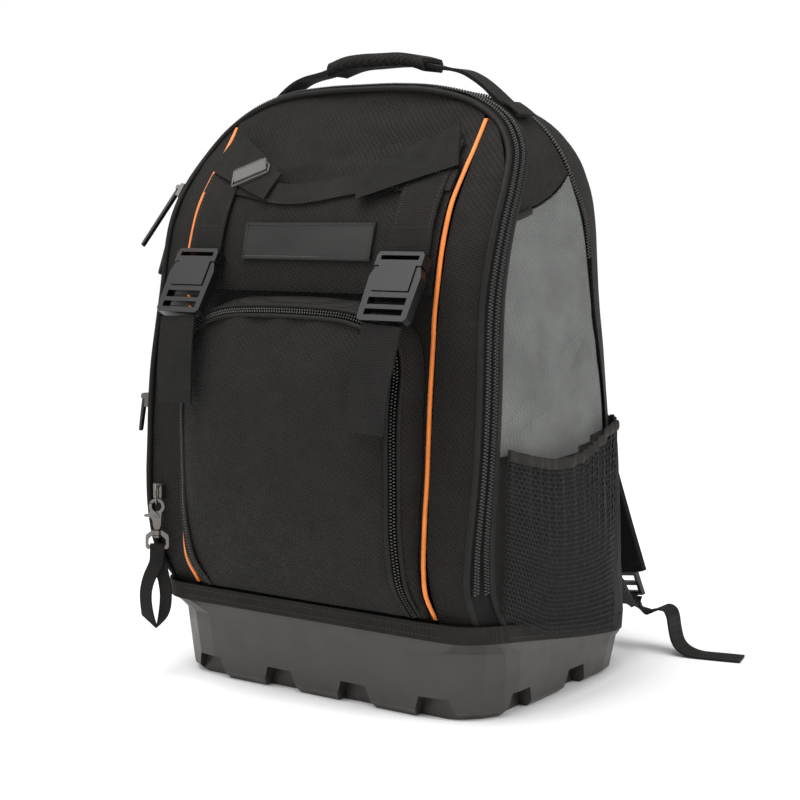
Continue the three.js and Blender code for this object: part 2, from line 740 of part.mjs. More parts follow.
// Front pocket: a domed face and a gusset, with a zip between them
const pocketPower = 3.2;
const pocketBottom = clothBottom(tubFront) + hemHeight - rimTuck + 1;
const pocketHalf = (z, inset) => {
  const share = clamp((z - pocketSpring) / (pocketTop - pocketSpring - inset), 0, 1);
  return (pocketHalfWidth - inset) * (1 - share ** pocketPower) ** (1 / pocketPower);
};
const pocketTopAt = (x, inset) => {
  const share = clamp(Math.abs(x) / (pocketHalfWidth - inset), 0, 1);
  return pocketSpring + (pocketTop - pocketSpring - inset) * (1 - share ** pocketPower) ** (1 / pocketPower);
};
const pocketRise = lineThrough([
  [0.00, 0.18], [0.09, 0.36], [0.20, 0.60], [0.33, 0.80], [0.60, 1.00], [0.82, 0.90],
  [0.92, 0.73], [0.97, 0.52], [1.00, 0.30],
], pocketTop - pocketBottom, pocketDepth);
function pocketY(x, z) {
  const share = clamp(Math.abs(x) / pocketHalfWidth, 0, 1);
  const across = 1 - 0.28 * share ** 2 - 0.40 * share ** 10;
  return frontY(x, z) - pocketRise(z - pocketBottom) * across;
}
const facePoint = (inset, off) => (u, v) => {
  const t = spread(mix(-1, 1, u));
  const z = mix(pocketBottom, pocketTopAt(t * (pocketHalfWidth - inset), inset), v);
  const x = t * (pocketHalfWidth - inset);
  return vec(x, pocketY(x, z) - off, z);
};
const faceInset = pocketZipInset + chainWidth / 2 + seamGap;
add('pocket_face', sheet(12, 8, facePoint(faceInset, 0), facePoint(faceInset, -cloth)), black, 0.9);

// The gusset runs from the zip back to the front panel
const rimSteps = 26;
function pocketRim(t, inset) {
  const half = pocketHalfWidth - inset;
  const side = Math.sign(t) || 1;
  const far = Math.abs(t);
  if (far < 0.4) {
    const angle = (far / 0.4) * (Math.PI / 2);
    const rise = pocketTop - pocketSpring - inset;
    return [side * half * Math.sin(angle) ** (2 / pocketPower),
      pocketSpring + rise * Math.cos(angle) ** (2 / pocketPower)];
  }
  return [side * half, mix(pocketSpring, pocketBottom, (far - 0.4) / 0.6)];
}
const rimBand = (inset, y) => (t) => {
  const [x, z] = pocketRim(t, inset);
  return vec(x, y(x, z), z);
};
const lipInset = pocketZipInset - chainWidth / 2 - seatGap;
const gussetBow = 3;
function pocketGusset(t, v, draw) {
  const lip = rimBand(lipInset, (x, z) => pocketY(x, z) + draw * 1.2)(t);
  const foot = rimBand(draw - 0.5, (x, z) => frontY(x, z) - 1.9 * layerGap)(t);
  const bow = gussetBow * Math.sin(Math.PI * v);
  return lip.lerp(foot, v).add(vec(bow * Math.sign(t) * 0.6, -bow * 0.5, 0));
}
add('pocket_gusset', sheet(rimSteps, 2, (u, v) => pocketGusset(mix(-1, 1, u), v, 0),
  (u, v) => pocketGusset(mix(-1, 1, u), v, cloth)), black, 0.9);
const pocketChain = (off) => (u, v) => {
  const t = mix(-1, 1, u);
  const inset = pocketZipInset + (v - 0.5) * chainWidth;
  return rimBand(inset, (x, z) => pocketY(x, z) - off)(t);
};
add('pocket_zip_chain', sheet(rimSteps, 1, pocketChain(chainHeight / 2), pocketChain(-chainHeight / 2)),
  chainBlack, 0.35);

// Slip pocket over the upper front, open along its drooping hem
const slipBottom = pocketTop + 4;
const droopMiddle = -22;
const droopReach = 78;
const droop = (x) => Math.cos((clamp((x - droopMiddle) / droopReach, -1, 1) * Math.PI) / 2) ** 2;
const slipSeat = 1.6 * layerGap;
const slipEdge = (z) => pipingLine(z) - pipingEdge - seamGap;
function slipPoint(u, v, off, low, high) {
  const t = spread(mix(-1, 1, u));
  const z = mix(low(t * slipEdge(slipHem)), high(t * slipEdge(slipHem)), v);
  const x = t * slipEdge(z);
  const gape = slipGape * droop(x) * clamp((z - slipBottom) / (slipHem - slipDroop - slipBottom), 0, 1) ** 3;
  return vec(x, frontY(x, z) - slipSeat - gape - off, z);
}
const slipTop = (x) => slipHem - slipDroop * droop(x);
const slipSheet = (off) => (u, v) => slipPoint(u, v, off, () => slipBottom, slipTop);
const slipCloth = 1.5;
add('slip_pocket', sheet(10, 4, slipSheet(slipCloth), slipSheet(0)), black, 0.9);
const hemSheet = (off) => (u, v) => (
  slipPoint(u, v, off, (x) => slipTop(x) - slipHemWidth, (x) => slipTop(x) + 1)
);
const slipHemBase = slipCloth + layerGap;
add('slip_pocket_hem', sheet(10, 1, hemSheet(slipHemBase + slipCloth), hemSheet(slipHemBase)), 0x2a2725, 0.9);

// Depth of the front's outer cloth where the straps and the patch lie
const slipY = (x, z) => {
  const rise = clamp((z - slipBottom) / (slipHem - slipDroop - slipBottom), 0, 1) ** 3;
  return frontY(x, z) - slipSeat - slipCloth - slipGape * droop(x) * rise;
};

// Bare rubber patch
const patchPoint = (off) => (u, v) => {
  const x = patchX + (u - 0.5) * patchWidth;
  const z = patchZ + (v - 0.5) * patchHeight;
  return vec(x, slipY(x, z) - layerGap - off, z);
};
add('bare_patch', sheet(8, 2, patchPoint(patchThickness), patchPoint(0)), 0x24221f, 0.7);

// Straps, buckles and tails, a set on each side
const lean = THREE.MathUtils.degToRad(buckleLean);
const buckleDown = vec(0, -Math.sin(lean), -Math.cos(lean));
const buckleOut = vec(0, -Math.cos(lean), Math.sin(lean));
const plugFrameTop = 36; // from the top of the buckle to the plug's frame
const armWidth = 5.8;
const armTop = 13;
const frameBar = 5;
const half = buckleWidth / 2;
const socketHalf = half - armWidth - seatGap;
const buckleY = frontY(strapX, buckleTopZ) - buckleStand;
function placeBuckle(geometry, side) {
  const basis = new THREE.Matrix4().makeBasis(vec(1, 0, 0), buckleDown, buckleOut.clone().negate());
  basis.setPosition(side * strapX, buckleY, buckleTopZ);
  return geometry.applyMatrix4(basis);
}
const slot = (top, bottom, reach) => [[-reach, top], [reach, top], [reach, bottom], [-reach, bottom]];
const socketOutline = [
  [-half + 3, 0], [half - 3, 0], [half - 1, 3], [half - 1, armTop - seatGap], [socketHalf, armTop - seatGap],
  [socketHalf, plugFrameTop - seatGap], [-socketHalf, plugFrameTop - seatGap],
  [-socketHalf, armTop - seatGap], [-half + 1, armTop - seatGap], [-half + 1, 3],
];
const plugOutline = [
  [-half, buckleLength - 3], [-half + 3, buckleLength], [half - 3, buckleLength], [half, buckleLength - 3],
  [half + 1.2, armTop + 9], [half - 2, armTop], [half - armWidth, armTop], [half - armWidth, plugFrameTop],
  [-half + armWidth, plugFrameTop], [-half + armWidth, armTop], [-half + 2, armTop], [-half - 1.2, armTop + 9],
];
const webHalf = webWidth / 2;
const barTop = (plugFrameTop + buckleLength) / 2;
const tailShares = { left: 0.86, right: 1 };
const tailPoints = [
  [0.00, 0.00, 0.00], [0.35, 0.10, 0.09], [0.70, 0.22, 0.15], [1.00, 0.26, 0.17],
]; // share of the length down, of the length in towards the middle, of the length out
const strapSeat = 4 * layerGap + 2 * slipCloth; // over the slip pocket and its hem
for (const [word, side] of [['left', -1], ['right', 1]]) {
  const strapPoint = (off) => (u, v) => {
    const x = side * strapX + (u - 0.5) * webWidth;
    const z = mix(buckleTopZ + seatGap, loopFoldZ, v);
    return vec(x, frontY(x, z) - strapSeat - off, z);
  };
  add(`strap_${word}`, sheet(2, 6, strapPoint(webThickness), strapPoint(0)), blackWeb, 0.85);

  const socket = plate(socketOutline, [slot(3.5, 7.5, webHalf - 0.5)], buckleThickness);
  add(`buckle_socket_${word}`, placeBuckle(socket, side), plastic, 0.4);
  const plug = plate(plugOutline, [
    slot(plugFrameTop + frameBar, barTop - 1.5, webHalf - 0.5),
    slot(barTop + 2.5, buckleLength - frameBar, webHalf - 0.5),
  ], buckleThickness - 2.4);
  add(`buckle_plug_${word}`, placeBuckle(plug, side), plastic, 0.4);

  const tailTop = vec(side * strapX, buckleY, buckleTopZ).addScaledVector(buckleDown, buckleLength + 1.9);
  const length = tailLength * tailShares[word];
  const tail = tailPoints.map(([down, inward, out]) => (
    tailTop.clone().add(vec(-side * inward * 0.3 * length, -out * length, -down * length))
  ));
  add(`strap_tail_${word}`, sweep(pathThrough(tail, 6), flatSection(webWidth, webThickness),
    () => vec(1, 0, 0)), blackWeb, 0.85);

  // Webbing loop: from the top of the strap, slanting in to the slip pocket's hem
  const slant = (off) => (u, v) => {
    const run = vec(side * (loopEndX - loopFoldX), 0, loopEndZ - loopFoldZ);
    const across = vec(-run.z, 0, run.x).normalize();
    const p = vec(side * loopFoldX, 0, loopFoldZ - 8).addScaledVector(run, mix(-0.16, 1, v));
    p.addScaledVector(across, (u - 0.5) * webWidth * mix(1, 0.62, v));
    const lift = strapSeat + webThickness + layerGap + 1.5 * v;
    const y = Math.min(frontY(p.x, p.z) - lift, slipY(p.x, p.z) - slipCloth - 3 * layerGap);
    return vec(p.x, y - off, p.z);
  };
  add(`webbing_loop_${word}`, sheet(2, 5, slant(webThickness), slant(0)), blackWeb, 0.85);
}

// Side pockets of net with a bound top edge, and a cloth wing round each rear corner
const netLow = (t) => mix(22, 4, clamp(t / 0.3, 0, 1)); // height of the lower edge above the rim
const netHigh = (t) => netTop - netSag * Math.sin(Math.PI * clamp(t * 1.15, 0, 1)) + 6 * t;
function netPoint(side, t, r, off) {
  const y = mix(netFront, netRear, t);
  const low = rimHeight(y) + netLow(t);
  const z = mix(low, netHigh(t), r);
  const s = placeOf(z, 0.5);
  const belly = netSwell * Math.sin(Math.PI * t) ** 0.7 * mix(0.25, 1, Math.sin(Math.PI * (0.15 + 0.7 * r)));
  const p = gusset(side * s, acrossAt(s, y));
  return vec(p.x + side * (netStandOff + belly + off), y, z);
}
function net(side) {
  const across = 2 * netColumns + 1;
  const up = 2 * netRows + 1;
  const body = sheet(across, up, (u, v) => netPoint(side, u, v * 0.96, netThickness),
    (u, v) => netPoint(side, u, v * 0.96, 0));
  const holes = [];
  for (let i = 0; i < netColumns; i += 1) {
    for (let j = 0; j < netRows; j += 1) {
      const corner = (a, b) => [(2 * i + 1 + a) / across, ((2 * j + 1 + b) / up) * 0.96];
      const ring = (off) => [[0, 0], [1, 0], [1, 1], [0, 1]].map(([a, b]) => {
        const [t, r] = corner(a, b);
        return netPoint(side, t, r, off);
      });
      holes.push(loft([ring(-3), ring(netThickness + 3)]));
    }
  }
  const base = netThickness - 0.4;
  const bandShare = netBindingWidth / (netTop - rimFrontHeight);
  const binding = (off) => (u, v) => netPoint(side, u, mix(1 - bandShare, 1.01, v), off);
  return joined([cut(body, holes), sheet(across, 1, binding(base + cloth), binding(base))]);
}
for (const [word, side] of [['left', -1], ['right', 1]]) {
  add(`net_pocket_${word}`, net(side), 0x1a1a1a, 0.8);
  const wing = (off) => (u, v) => {
    const z = mix(rimRearHeight + hemHeight + 3, wingTop, u);
    const s = placeOf(z, 1);
    const from = acrossAt(s, netRear + 3);
    return gussetOff(side * s, mix(from, 1.62, v), netStandOff * 0.6 + off);
  };
  add(`net_wing_${word}`, sheet(5, 3, wing(cloth), wing(0)), black, 0.9);
}

// Carry handle: webbing over the top, its sewn ends and a wrapped grip
const handleTop = bodyTop + handleRise;
const handleEnds = [142, 126];
const sewn = (x, off) => {
  const s = placeOf(archTopAt(x), 0);
  return gussetOff(s, acrossAt(s, handleY), off);
};
const handleSeat = layerGap + handleThickness / 2;
const handleHalf = [
  sewn(handleEnds[0], handleSeat), sewn(handleEnds[1], handleSeat),
  vec(handleEnds[1] - 14, handleY, bodyTop - 3), vec(gripLength / 2 + 24, handleY, bodyTop + 12),
  vec(gripLength / 2, handleY, handleTop - 13), vec(gripLength / 4, handleY, handleTop - 4),
];
const handlePath = [
  ...handleHalf.map((p) => vec(-p.x, p.y, p.z)),
  vec(0, handleY, handleTop - handleThickness),
  ...handleHalf.slice().reverse(),
];
const handleCurve = pathThrough(handlePath, 24);
add('handle_webbing', sweep(handleCurve, flatSection(handleWidth, handleThickness), () => vec(0, 1, 0)),
  blackWeb, 0.85);
const gripPath = handleCurve.filter((p) => Math.abs(p.x) < gripLength / 2 && p.z > bodyTop + 10);
const gripSection = (grow) => padSection(handleWidth + 4 + 2 * grow, handleThickness + 2.4 + 2 * grow);
const gripRing = (grow) => (u, v) => {
  const place = v * (gripPath.length - 1);
  const i = Math.min(Math.floor(place), gripPath.length - 2);
  const p = gripPath[i].clone().lerp(gripPath[i + 1], place - i);
  const [a, b] = gripSection(grow)[Math.round(u * 8) % 8];
  return p.add(vec(0, a, b));
};
add('handle_grip', sheet(8, gripPath.length - 1, gripRing(gripWall), gripRing(0), true), blackWeb, 0.8);
for (const [word, side] of [['left', -1], ['right', 1]]) {
  const patch = (off) => (u, v) => {
    const s = placeOf(archTopAt(mix(handleEnds[0] + 2, handleEnds[1] + 3, u)), 0);
    const w = acrossAt(s, handleY + (v - 0.5) * (handleWidth + 4));
    return gussetOff(side * s, w, handleSeat + handleThickness / 2 + 1.6 * seatGap + off);
  };
  add(`handle_patch_${word}`, sheet(3, 1, patch(cloth), patch(0)), black, 0.9);
}

// Shoulder straps behind the back: a padded part, its lower webbing, an adjuster and a free tail
const strapHalf = [
  // x, distance behind the back panel, z
  [50, 8.3, 464], [59, 20.4, 408], [78, 38.6, 310], [100, 42.1, 215], [122, 45.4, 130], [138, 47.7, 74],
].map(([x, behind, z]) => [x, backLine(z) + behind, z]);
const anchorPoint = [162.4, tubRear - 12.2, 68];
const webBend = [162, tubRear + 8, 62];
const adjusterHalf = [17, 12];
const adjusterThickness = 4;
const tailRoute = [
  // x, distance behind the tub, z
  [164, 51, 35], [176, 47, 43], [187, 46, 41], [191, 45, 25], [197, 44, 9],
  [210, 46, 2.2], [234, 51, 1.6], [256, 56, 1.6],
].map(([x, behind, z]) => [x, tubRear + behind, z]);
for (const [word, side] of [['left', -1], ['right', 1]]) {
  const place = ([x, y, z]) => vec(side * x, y, z);
  const padPath = pathThrough(strapHalf.map(place), 8);
  add(`shoulder_pad_${word}`, sweep(padPath, padSection(padWidth, padThickness),
    (t) => vec(mix(1, 0.9, t), side * mix(0, -0.4, t), 0)), black, 0.95);
  const end = padPath[padPath.length - 1];
  const down = end.clone().sub(padPath[padPath.length - 2]).normalize();
  const across = vec(side * 0.9, -0.4, 0);
  across.addScaledVector(down, -across.dot(down)).normalize();
  const away = vec(0, 0, 0).crossVectors(across, down).multiplyScalar(side);
  const [wide, high] = adjusterHalf;
  const frame = plate([[-wide, -high], [wide, -high], [wide, high], [-wide, high]],
    [slot(-8, -2, lowerWebWidth / 2), slot(2, 8, lowerWebWidth / 2)], adjusterThickness);
  const middle = end.clone().addScaledVector(down, high + 2 * seatGap);
  add(`adjuster_${word}`, frame.applyMatrix4(new THREE.Matrix4().makeBasis(across, down,
    vec(0, 0, 0).crossVectors(across, down)).setPosition(middle)), plastic, 0.4);

  // The lower webbing runs to the back of the adjuster's lower bar, and its free tail from the bar down
  const web = flatSection(lowerWebWidth, lowerWebThickness);
  const bar = middle.clone().addScaledVector(down, high - 2);
  const behind = (distance) => bar.clone().addScaledVector(away, -distance - adjusterThickness / 2);
  const webPath = [...pathThrough([place(anchorPoint), place(webBend), behind(14)], 5), behind(7),
    behind(2 * seatGap)];
  add(`lower_web_${word}`, sweep(webPath, web,
    (t) => vec(-side * 0.35, 0, 1).lerp(across.clone().multiplyScalar(-side), t)), blackWeb, 0.85);
  const tailStart = [3.3, 12.5].map((distance) => bar.clone().addScaledVector(down, distance));
  add(`lower_tail_${word}`, sweep(pathThrough([...tailStart, ...tailRoute.map(place)], 20), web,
    (t) => across.clone().multiplyScalar(side).lerp(vec(0, -side, 0), clamp(t / 0.25, 0, 1))), blackWeb, 0.85);
}

// Round hole or pin as an outline
const circle = (x, y, radius) => roundSection(radius, 12).map(([a, b]) => [x + a, y + b]);
const placed = (geometry, xAxis, yAxis, zAxis, at) => (
  geometry.applyMatrix4(new THREE.Matrix4().makeBasis(xAxis, yAxis, zAxis).setPosition(at))
);
const box = (width, depth, height, x, y, z) => (
  weld(new THREE.BoxGeometry(width, depth, height).translate(x, y, z))
);

// Zip sliders on the left side. Each straddles its row of the chain and holds a pin for its pull.
const eyeRadius = pinRadius + pinClearance + eyeWall;
const pinHeight = sliderPlate + eyeRadius + pinClearance;
const pinBack = -3; // place of the pin along the slider
const earWall = 1.3;
const earInside = pullWidth / 2 + pinClearance;
function chainFrame(side, place, z) {
  const s = placeOf(z, 0);
  const w = acrossOf(s, place);
  const out = gussetOff(side * s, w, 1).sub(gusset(side * s, w));
  const down = gusset(side * (s + 0.01), w).sub(gusset(side * (s - 0.01), w)).normalize();
  const across = vec(0, 0, 0).crossVectors(out, down);
  const frame = new THREE.Matrix4().makeBasis(down, across, out);
  return frame.setPosition(gussetOff(side * s, w, layerGap + chainHeight + 4 * seatGap));
}
function slider() {
  const inside = chainWidth / 2 + 3 * seatGap;
  const outside = sliderWidth / 2;
  const legs = -chainHeight - seatGap / 2;
  const section = [
    [-outside, legs], [-inside, legs], [-inside, 0], [inside, 0], [inside, legs], [outside, legs],
    [outside, sliderPlate], [-outside, sliderPlate],
  ];
  const body = placed(plate(section, [], sliderLength), vec(0, 1, 0), vec(0, 0, 1), vec(1, 0, 0), vec(0, 0, 0));
  const ear = [
    [pinBack - 2.4, sliderPlate - 0.5], [pinBack + 2.4, sliderPlate - 0.5],
    [pinBack + 1.8, pinHeight + 1.8], [pinBack - 1.8, pinHeight + 1.8],
  ];
  const ears = [-1, 1].map((k) => placed(plate(ear, [], earWall), vec(1, 0, 0), vec(0, 0, 1), vec(0, -1, 0),
    vec(0, k * (earInside + earWall / 2), 0)));
  const pin = placed(plate(circle(pinBack, pinHeight, pinRadius), [], 2 * earInside + earWall),
    vec(1, 0, 0), vec(0, 0, 1), vec(0, -1, 0), vec(0, 0, 0));
  return joined([body, ...ears, pin]);
}
function pull(length) {
  const thick = pullThickness / 2;
  const eye = Array.from({ length: 9 }, (_, i) => {
    const a = THREE.MathUtils.degToRad(30 + 37.5 * i);
    return [eyeRadius * Math.cos(a), eyeRadius * Math.sin(a)];
  });
  const outline = [
    ...eye, [length - 2, -thick], [length, -thick / 2], [length, thick / 2], [length - 2, thick],
  ];
  return placed(plate(outline, [circle(0, 0, pinRadius + pinClearance)], pullWidth),
    vec(1, 0, 0), vec(0, 0, 1), vec(0, -1, 0), vec(0, 0, 0));
}

// Slider, row of the chain, height, share of the pull's length, degrees that the pull stands out
const sliders = [
  ['upper', frontChainPlace, 438, 1.00, 8],
  ['middle', rearChainPlace, 412, 0.85, 4],
  ['lower', frontChainPlace, 250, 0.50, 6],
];
for (const [word, place, z, share, tilt] of sliders) {
  const frame = chainFrame(-1, place, z);
  add(`zip_slider_${word}`, slider().applyMatrix4(frame), gunmetal, 0.4, 0.8);
  const turn = new THREE.Matrix4().makeRotationY(THREE.MathUtils.degToRad(-tilt));
  turn.setPosition(pinBack, 0, pinHeight);
  add(`zip_pull_${word}`, pull(pullLength * share).applyMatrix4(frame.clone().multiply(turn)), plastic, 0.5);
}

// Lanyard. Its own axes: right and up in the hook's flat side, and out of it.
const turnAngle = THREE.MathUtils.degToRad(lanyardTurn);
const flatRight = vec(Math.cos(turnAngle), Math.sin(turnAngle), 0);
const flatOut = vec(Math.sin(turnAngle), -Math.cos(turnAngle), 0);
const hang = vec(lanyardX, lanyardY, lanyardZ);
const onHook = (geometry, out = 0) => (
  placed(geometry, flatRight, vec(0, 0, 1), flatOut, hang.clone().addScaledVector(flatOut, out))
);
const hookPoint = (right, up, out) => (
  hang.clone().addScaledVector(flatRight, right).addScaledVector(flatOut, out).add(vec(0, 0, up))
);
const upright = (radius, low, high) => sweep([hookPoint(0, low, 0), hookPoint(0, high, 0)],
  roundSection(radius, 12), () => flatRight.clone());

// Slider of the side zip, with the wire eye that the hook hangs from
const eyeLift = 11;
const eyeHigh = 8.6;
const eyeWide = 5.2;
const wire = Array.from({ length: 14 }, (_, i) => {
  const a = (i / 14) * 2 * Math.PI;
  return hookPoint(0, eyeLift + eyeHigh * Math.sin(a), eyeWide * Math.cos(a));
});
const eyeBack = hookPoint(0, eyeLift, -eyeWide);
const mountFace = Math.min(...[-1, 1].map((k) => (
  frontY(eyeBack.x, eyeBack.z + 2 + (k * sliderLength) / 2)
))) - 2 * seatGap;
const mountDepth = sliderPlate + chainHeight;
add('lanyard_slider', joined([
  box(sliderWidth, mountDepth, sliderLength, eyeBack.x, mountFace - mountDepth / 2, eyeBack.z + 2),
  box(3, mountFace - eyeBack.y, 4, eyeBack.x, (mountFace - 2 + eyeBack.y) / 2, eyeBack.z),
  sweep(wire, roundSection(wireRadius, 5), () => flatRight.clone(), true),
]), gunmetal, 0.4, 0.8);

// Hook: a jaw open at the left, a body, the gate's pin and the swivel's stem
const arc = (radius, from, to, steps) => Array.from({ length: steps + 1 }, (_, i) => {
  const a = THREE.MathUtils.degToRad(mix(from, to, i / steps));
  return [radius * Math.cos(a), radius * Math.sin(a)];
});
const jaw = [...arc(jawRadius, -110, 150, 12), ...arc(jawRadius - jawWall, 150, -110, 12)];
const hookWaist = [
  [-0.62, -0.26], [0.62, -0.26], [0.47, -0.86], [0.30, -1.00], [-0.30, -1.00], [-0.47, -0.86],
].map(([a, b]) => [a * jawRadius, b * hookLength]);
const gateLayer = hookThickness / 2 + pinClearance + gateThickness / 2;
const pinEnd = gateLayer + gateThickness / 2 + pinClearance;
const gatePin = (radius, from, to) => (
  onHook(plate(circle(gatePinX, gatePinZ, radius), [], to - from), (from + to) / 2)
);
const bossTop = -hookLength - 1;
const bossLow = bossTop - 4;
add('hook_body', joined([
  onHook(plate(jaw, [], hookThickness)), onHook(plate(hookWaist, [], hookThickness)),
  gatePin(wireRadius, 1, pinEnd + 0.4), gatePin(2 * wireRadius, pinEnd, pinEnd + 0.8),
  upright(swivelRadius, bossLow - 1.5, -hookLength + 1), upright(2 * swivelRadius, bossLow - 2.6, bossLow - 0.8),
]), gunmetal, 0.35, 0.9);

// Gate with its thumb lever, in the layer in front of the hook
const gateArm = [
  [0.35, -10.6], [0.30, -8.0], [-0.47, -2.4], [-0.57, -0.7], [-0.55, 1.4], [-0.56, 2.2], [-0.81, 3.1],
  [-0.93, 1.2], [-0.91, -1.8], [-0.78, -3.9], [-0.97, -6.2], [-1.53, -7.2], [-1.53, -9.0], [-0.78, -9.6],
  [-0.50, -12.2], [-0.17, -12.9], [0.10, -12.2],
].map(([a, b]) => [a * jawRadius, (b * gatePinZ) / -10]);
add('hook_gate', onHook(plate(gateArm, [circle(gatePinX, gatePinZ, wireRadius + pinClearance)], gateThickness),
  gateLayer), gunmetal, 0.35, 0.9);

// D-shaped loop that turns on the swivel
const ringLow = bossTop - ringHeight;
const ringShape = (grow, top, low) => {
  const w = ringWidth / 2 - grow;
  return [
    [-0.42 * w, top], [0.42 * w, top], [0.95 * w, top - 4], [w, top - 7], [w, low + 2], [w - 1.5, low],
    [1.5 - w, low], [-w, low + 2], [-w, top - 7], [-0.95 * w, top - 4],
  ];
};
const ringPlate = plate(ringShape(0, bossTop, ringLow), [ringShape(ringBar, bossLow, ringLow + ringBar)],
  ringThickness);
add('lanyard_ring', cut(joined([onHook(ringPlate), upright(2.4 * swivelRadius, bossLow, bossTop)]),
  [upright(swivelRadius + pinClearance, bossLow - 2, bossTop + 2)]), gunmetal, 0.35, 0.9);

// Wrist loop: webbing round the ring's bar, sewn together below it, then open
const barClear = ringThickness / 2 + pinClearance + loopWebThickness / 2;
const barUp = ringLow + ringBar;
const openDrop = loopDrop + ringLow - 14;
const loopRows = [
  // right, down in shares of the open part's length, out
  [-0.08, 0.00, 1.4], [-0.55, 0.17, 1.8], [-0.95, 0.45, 1.0], [-0.78, 0.79, 0.5], [-0.15, 1.00, 0.0],
  [0.42, 0.81, -0.5], [0.60, 0.48, -1.0], [0.36, 0.17, -1.8], [0.08, 0.00, -1.4],
];
const loopFront = [
  [0, barUp + 2, 1.1], [0, barUp + 0.2, barClear + 0.3], [0, ringLow - 1.6, barClear + 0.2],
  [-0.4, ringLow - 7, 1.4],
];
const loopPath = [
  ...loopFront.map(([a, b, c]) => hookPoint(a, b, c)),
  ...loopRows.map(([a, b, c]) => hookPoint(a * loopWebWidth, ringLow - 14 - b * openDrop, c)),
  ...loopFront.slice().reverse().map(([a, b, c]) => hookPoint(-a, b, -c)),
];
const loopSide = (t) => {
  const open = clamp((hang.z + ringLow - 14 - loopPath[Math.round(t * (loopPath.length - 1))].z) / 12, 0, 1);
  return flatRight.clone().addScaledVector(flatOut, 0.55 * open);
};
add('wrist_loop', sweep(loopPath, flatSection(loopWebWidth, loopWebThickness), loopSide, true), blackWeb, 0.85);

export default group;
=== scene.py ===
import math

import bmesh
import bpy
import numpy as np
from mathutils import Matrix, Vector, noise
from mathutils.bvhtree import BVHTree


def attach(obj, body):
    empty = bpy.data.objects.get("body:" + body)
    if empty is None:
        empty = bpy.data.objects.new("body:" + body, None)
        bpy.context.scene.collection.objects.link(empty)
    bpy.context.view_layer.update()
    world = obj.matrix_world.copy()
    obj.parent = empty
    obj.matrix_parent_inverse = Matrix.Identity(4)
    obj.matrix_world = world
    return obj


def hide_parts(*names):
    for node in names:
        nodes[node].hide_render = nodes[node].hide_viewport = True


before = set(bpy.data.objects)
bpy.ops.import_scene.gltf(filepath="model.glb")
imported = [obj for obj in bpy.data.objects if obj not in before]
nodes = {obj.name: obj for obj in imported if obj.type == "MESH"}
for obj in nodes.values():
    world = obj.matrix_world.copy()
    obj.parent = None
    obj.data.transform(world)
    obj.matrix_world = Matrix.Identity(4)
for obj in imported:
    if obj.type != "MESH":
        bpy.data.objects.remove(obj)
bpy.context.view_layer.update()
scene = bpy.context.scene


# Camera: a long lens about a metre and a half away, a little above the bag and well round to its
# right, as in the photograph.
camera = bpy.data.objects.new("camera", bpy.data.cameras.new("camera"))
scene.collection.objects.link(camera)
turn, dip = math.radians(35), math.radians(6.3)
sight = Vector((-math.sin(turn) * math.cos(dip), math.cos(turn) * math.cos(dip), -math.sin(dip)))
camera.location = (0.890, -1.276, 0.420)
camera.rotation_euler = sight.to_track_quat("-Z", "Y").to_euler()
camera.data.lens = 76.5
scene.camera = camera


# Studio: a wide white floor under an even white sky, a broad soft sun from the front, one soft box
# over the front of the bag and one at its right.
def new_material(name, colour, roughness, metallic=0.0):
    """Material with its node tree and its shader."""
    material = bpy.data.materials.new(name)
    material.use_nodes = True
    shader = material.node_tree.nodes["Principled BSDF"]
    shader.inputs["Base Color"].default_value = (*colour, 1)
    shader.inputs["Roughness"].default_value = roughness
    shader.inputs["Metallic"].default_value = metallic
    return material, material.node_tree, shader


def uneven(tree, scale, low, high, detail=3.0):
    """Value that wanders between low and high over the object."""
    place = tree.nodes.new("ShaderNodeTexCoord")
    cloud = tree.nodes.new("ShaderNodeTexNoise")
    cloud.inputs["Scale"].default_value = scale
    cloud.inputs["Detail"].default_value = detail
    span = tree.nodes.new("ShaderNodeMapRange")
    span.inputs["From Min"].default_value = 0.3
    span.inputs["From Max"].default_value = 0.7
    span.inputs["To Min"].default_value = low
    span.inputs["To Max"].default_value = high
    tree.links.new(place.outputs["Object"], cloud.inputs["Vector"])
    tree.links.new(cloud.outputs["Fac"], span.inputs["Value"])
    return span.outputs["Result"]


def one_colour(name, colour, scale, smooth, rough):
    """Material of one colour, whose roughness wanders from smooth to rough."""
    material, tree, shader = new_material(name, colour, (smooth + rough) / 2)
    tree.links.new(uneven(tree, scale, smooth, rough), shader.inputs["Roughness"])
    return material


def soft_box(name, place, target, width, height, power):
    """Rectangular lamp that looks at a point."""
    lamp = bpy.data.lights.new(name, "AREA")
    lamp.shape = "RECTANGLE"
    lamp.size, lamp.size_y, lamp.energy = width, height, power
    holder = bpy.data.objects.new(name, lamp)
    holder.location = place
    holder.rotation_euler = (Vector(target) - Vector(place)).to_track_quat("-Z", "Y").to_euler()
    scene.collection.objects.link(holder)


floor_mesh = bpy.data.meshes.new("floor")
shape = bmesh.new()
bmesh.ops.create_grid(shape, x_segments=8, y_segments=8, size=40)
shape.to_mesh(floor_mesh)
shape.free()
floor_mesh.materials.append(one_colour("pale_floor", (1.0, 1.0, 1.0), 3, 0.76, 0.84))
floor = bpy.data.objects.new("floor", floor_mesh)
scene.collection.objects.link(floor)

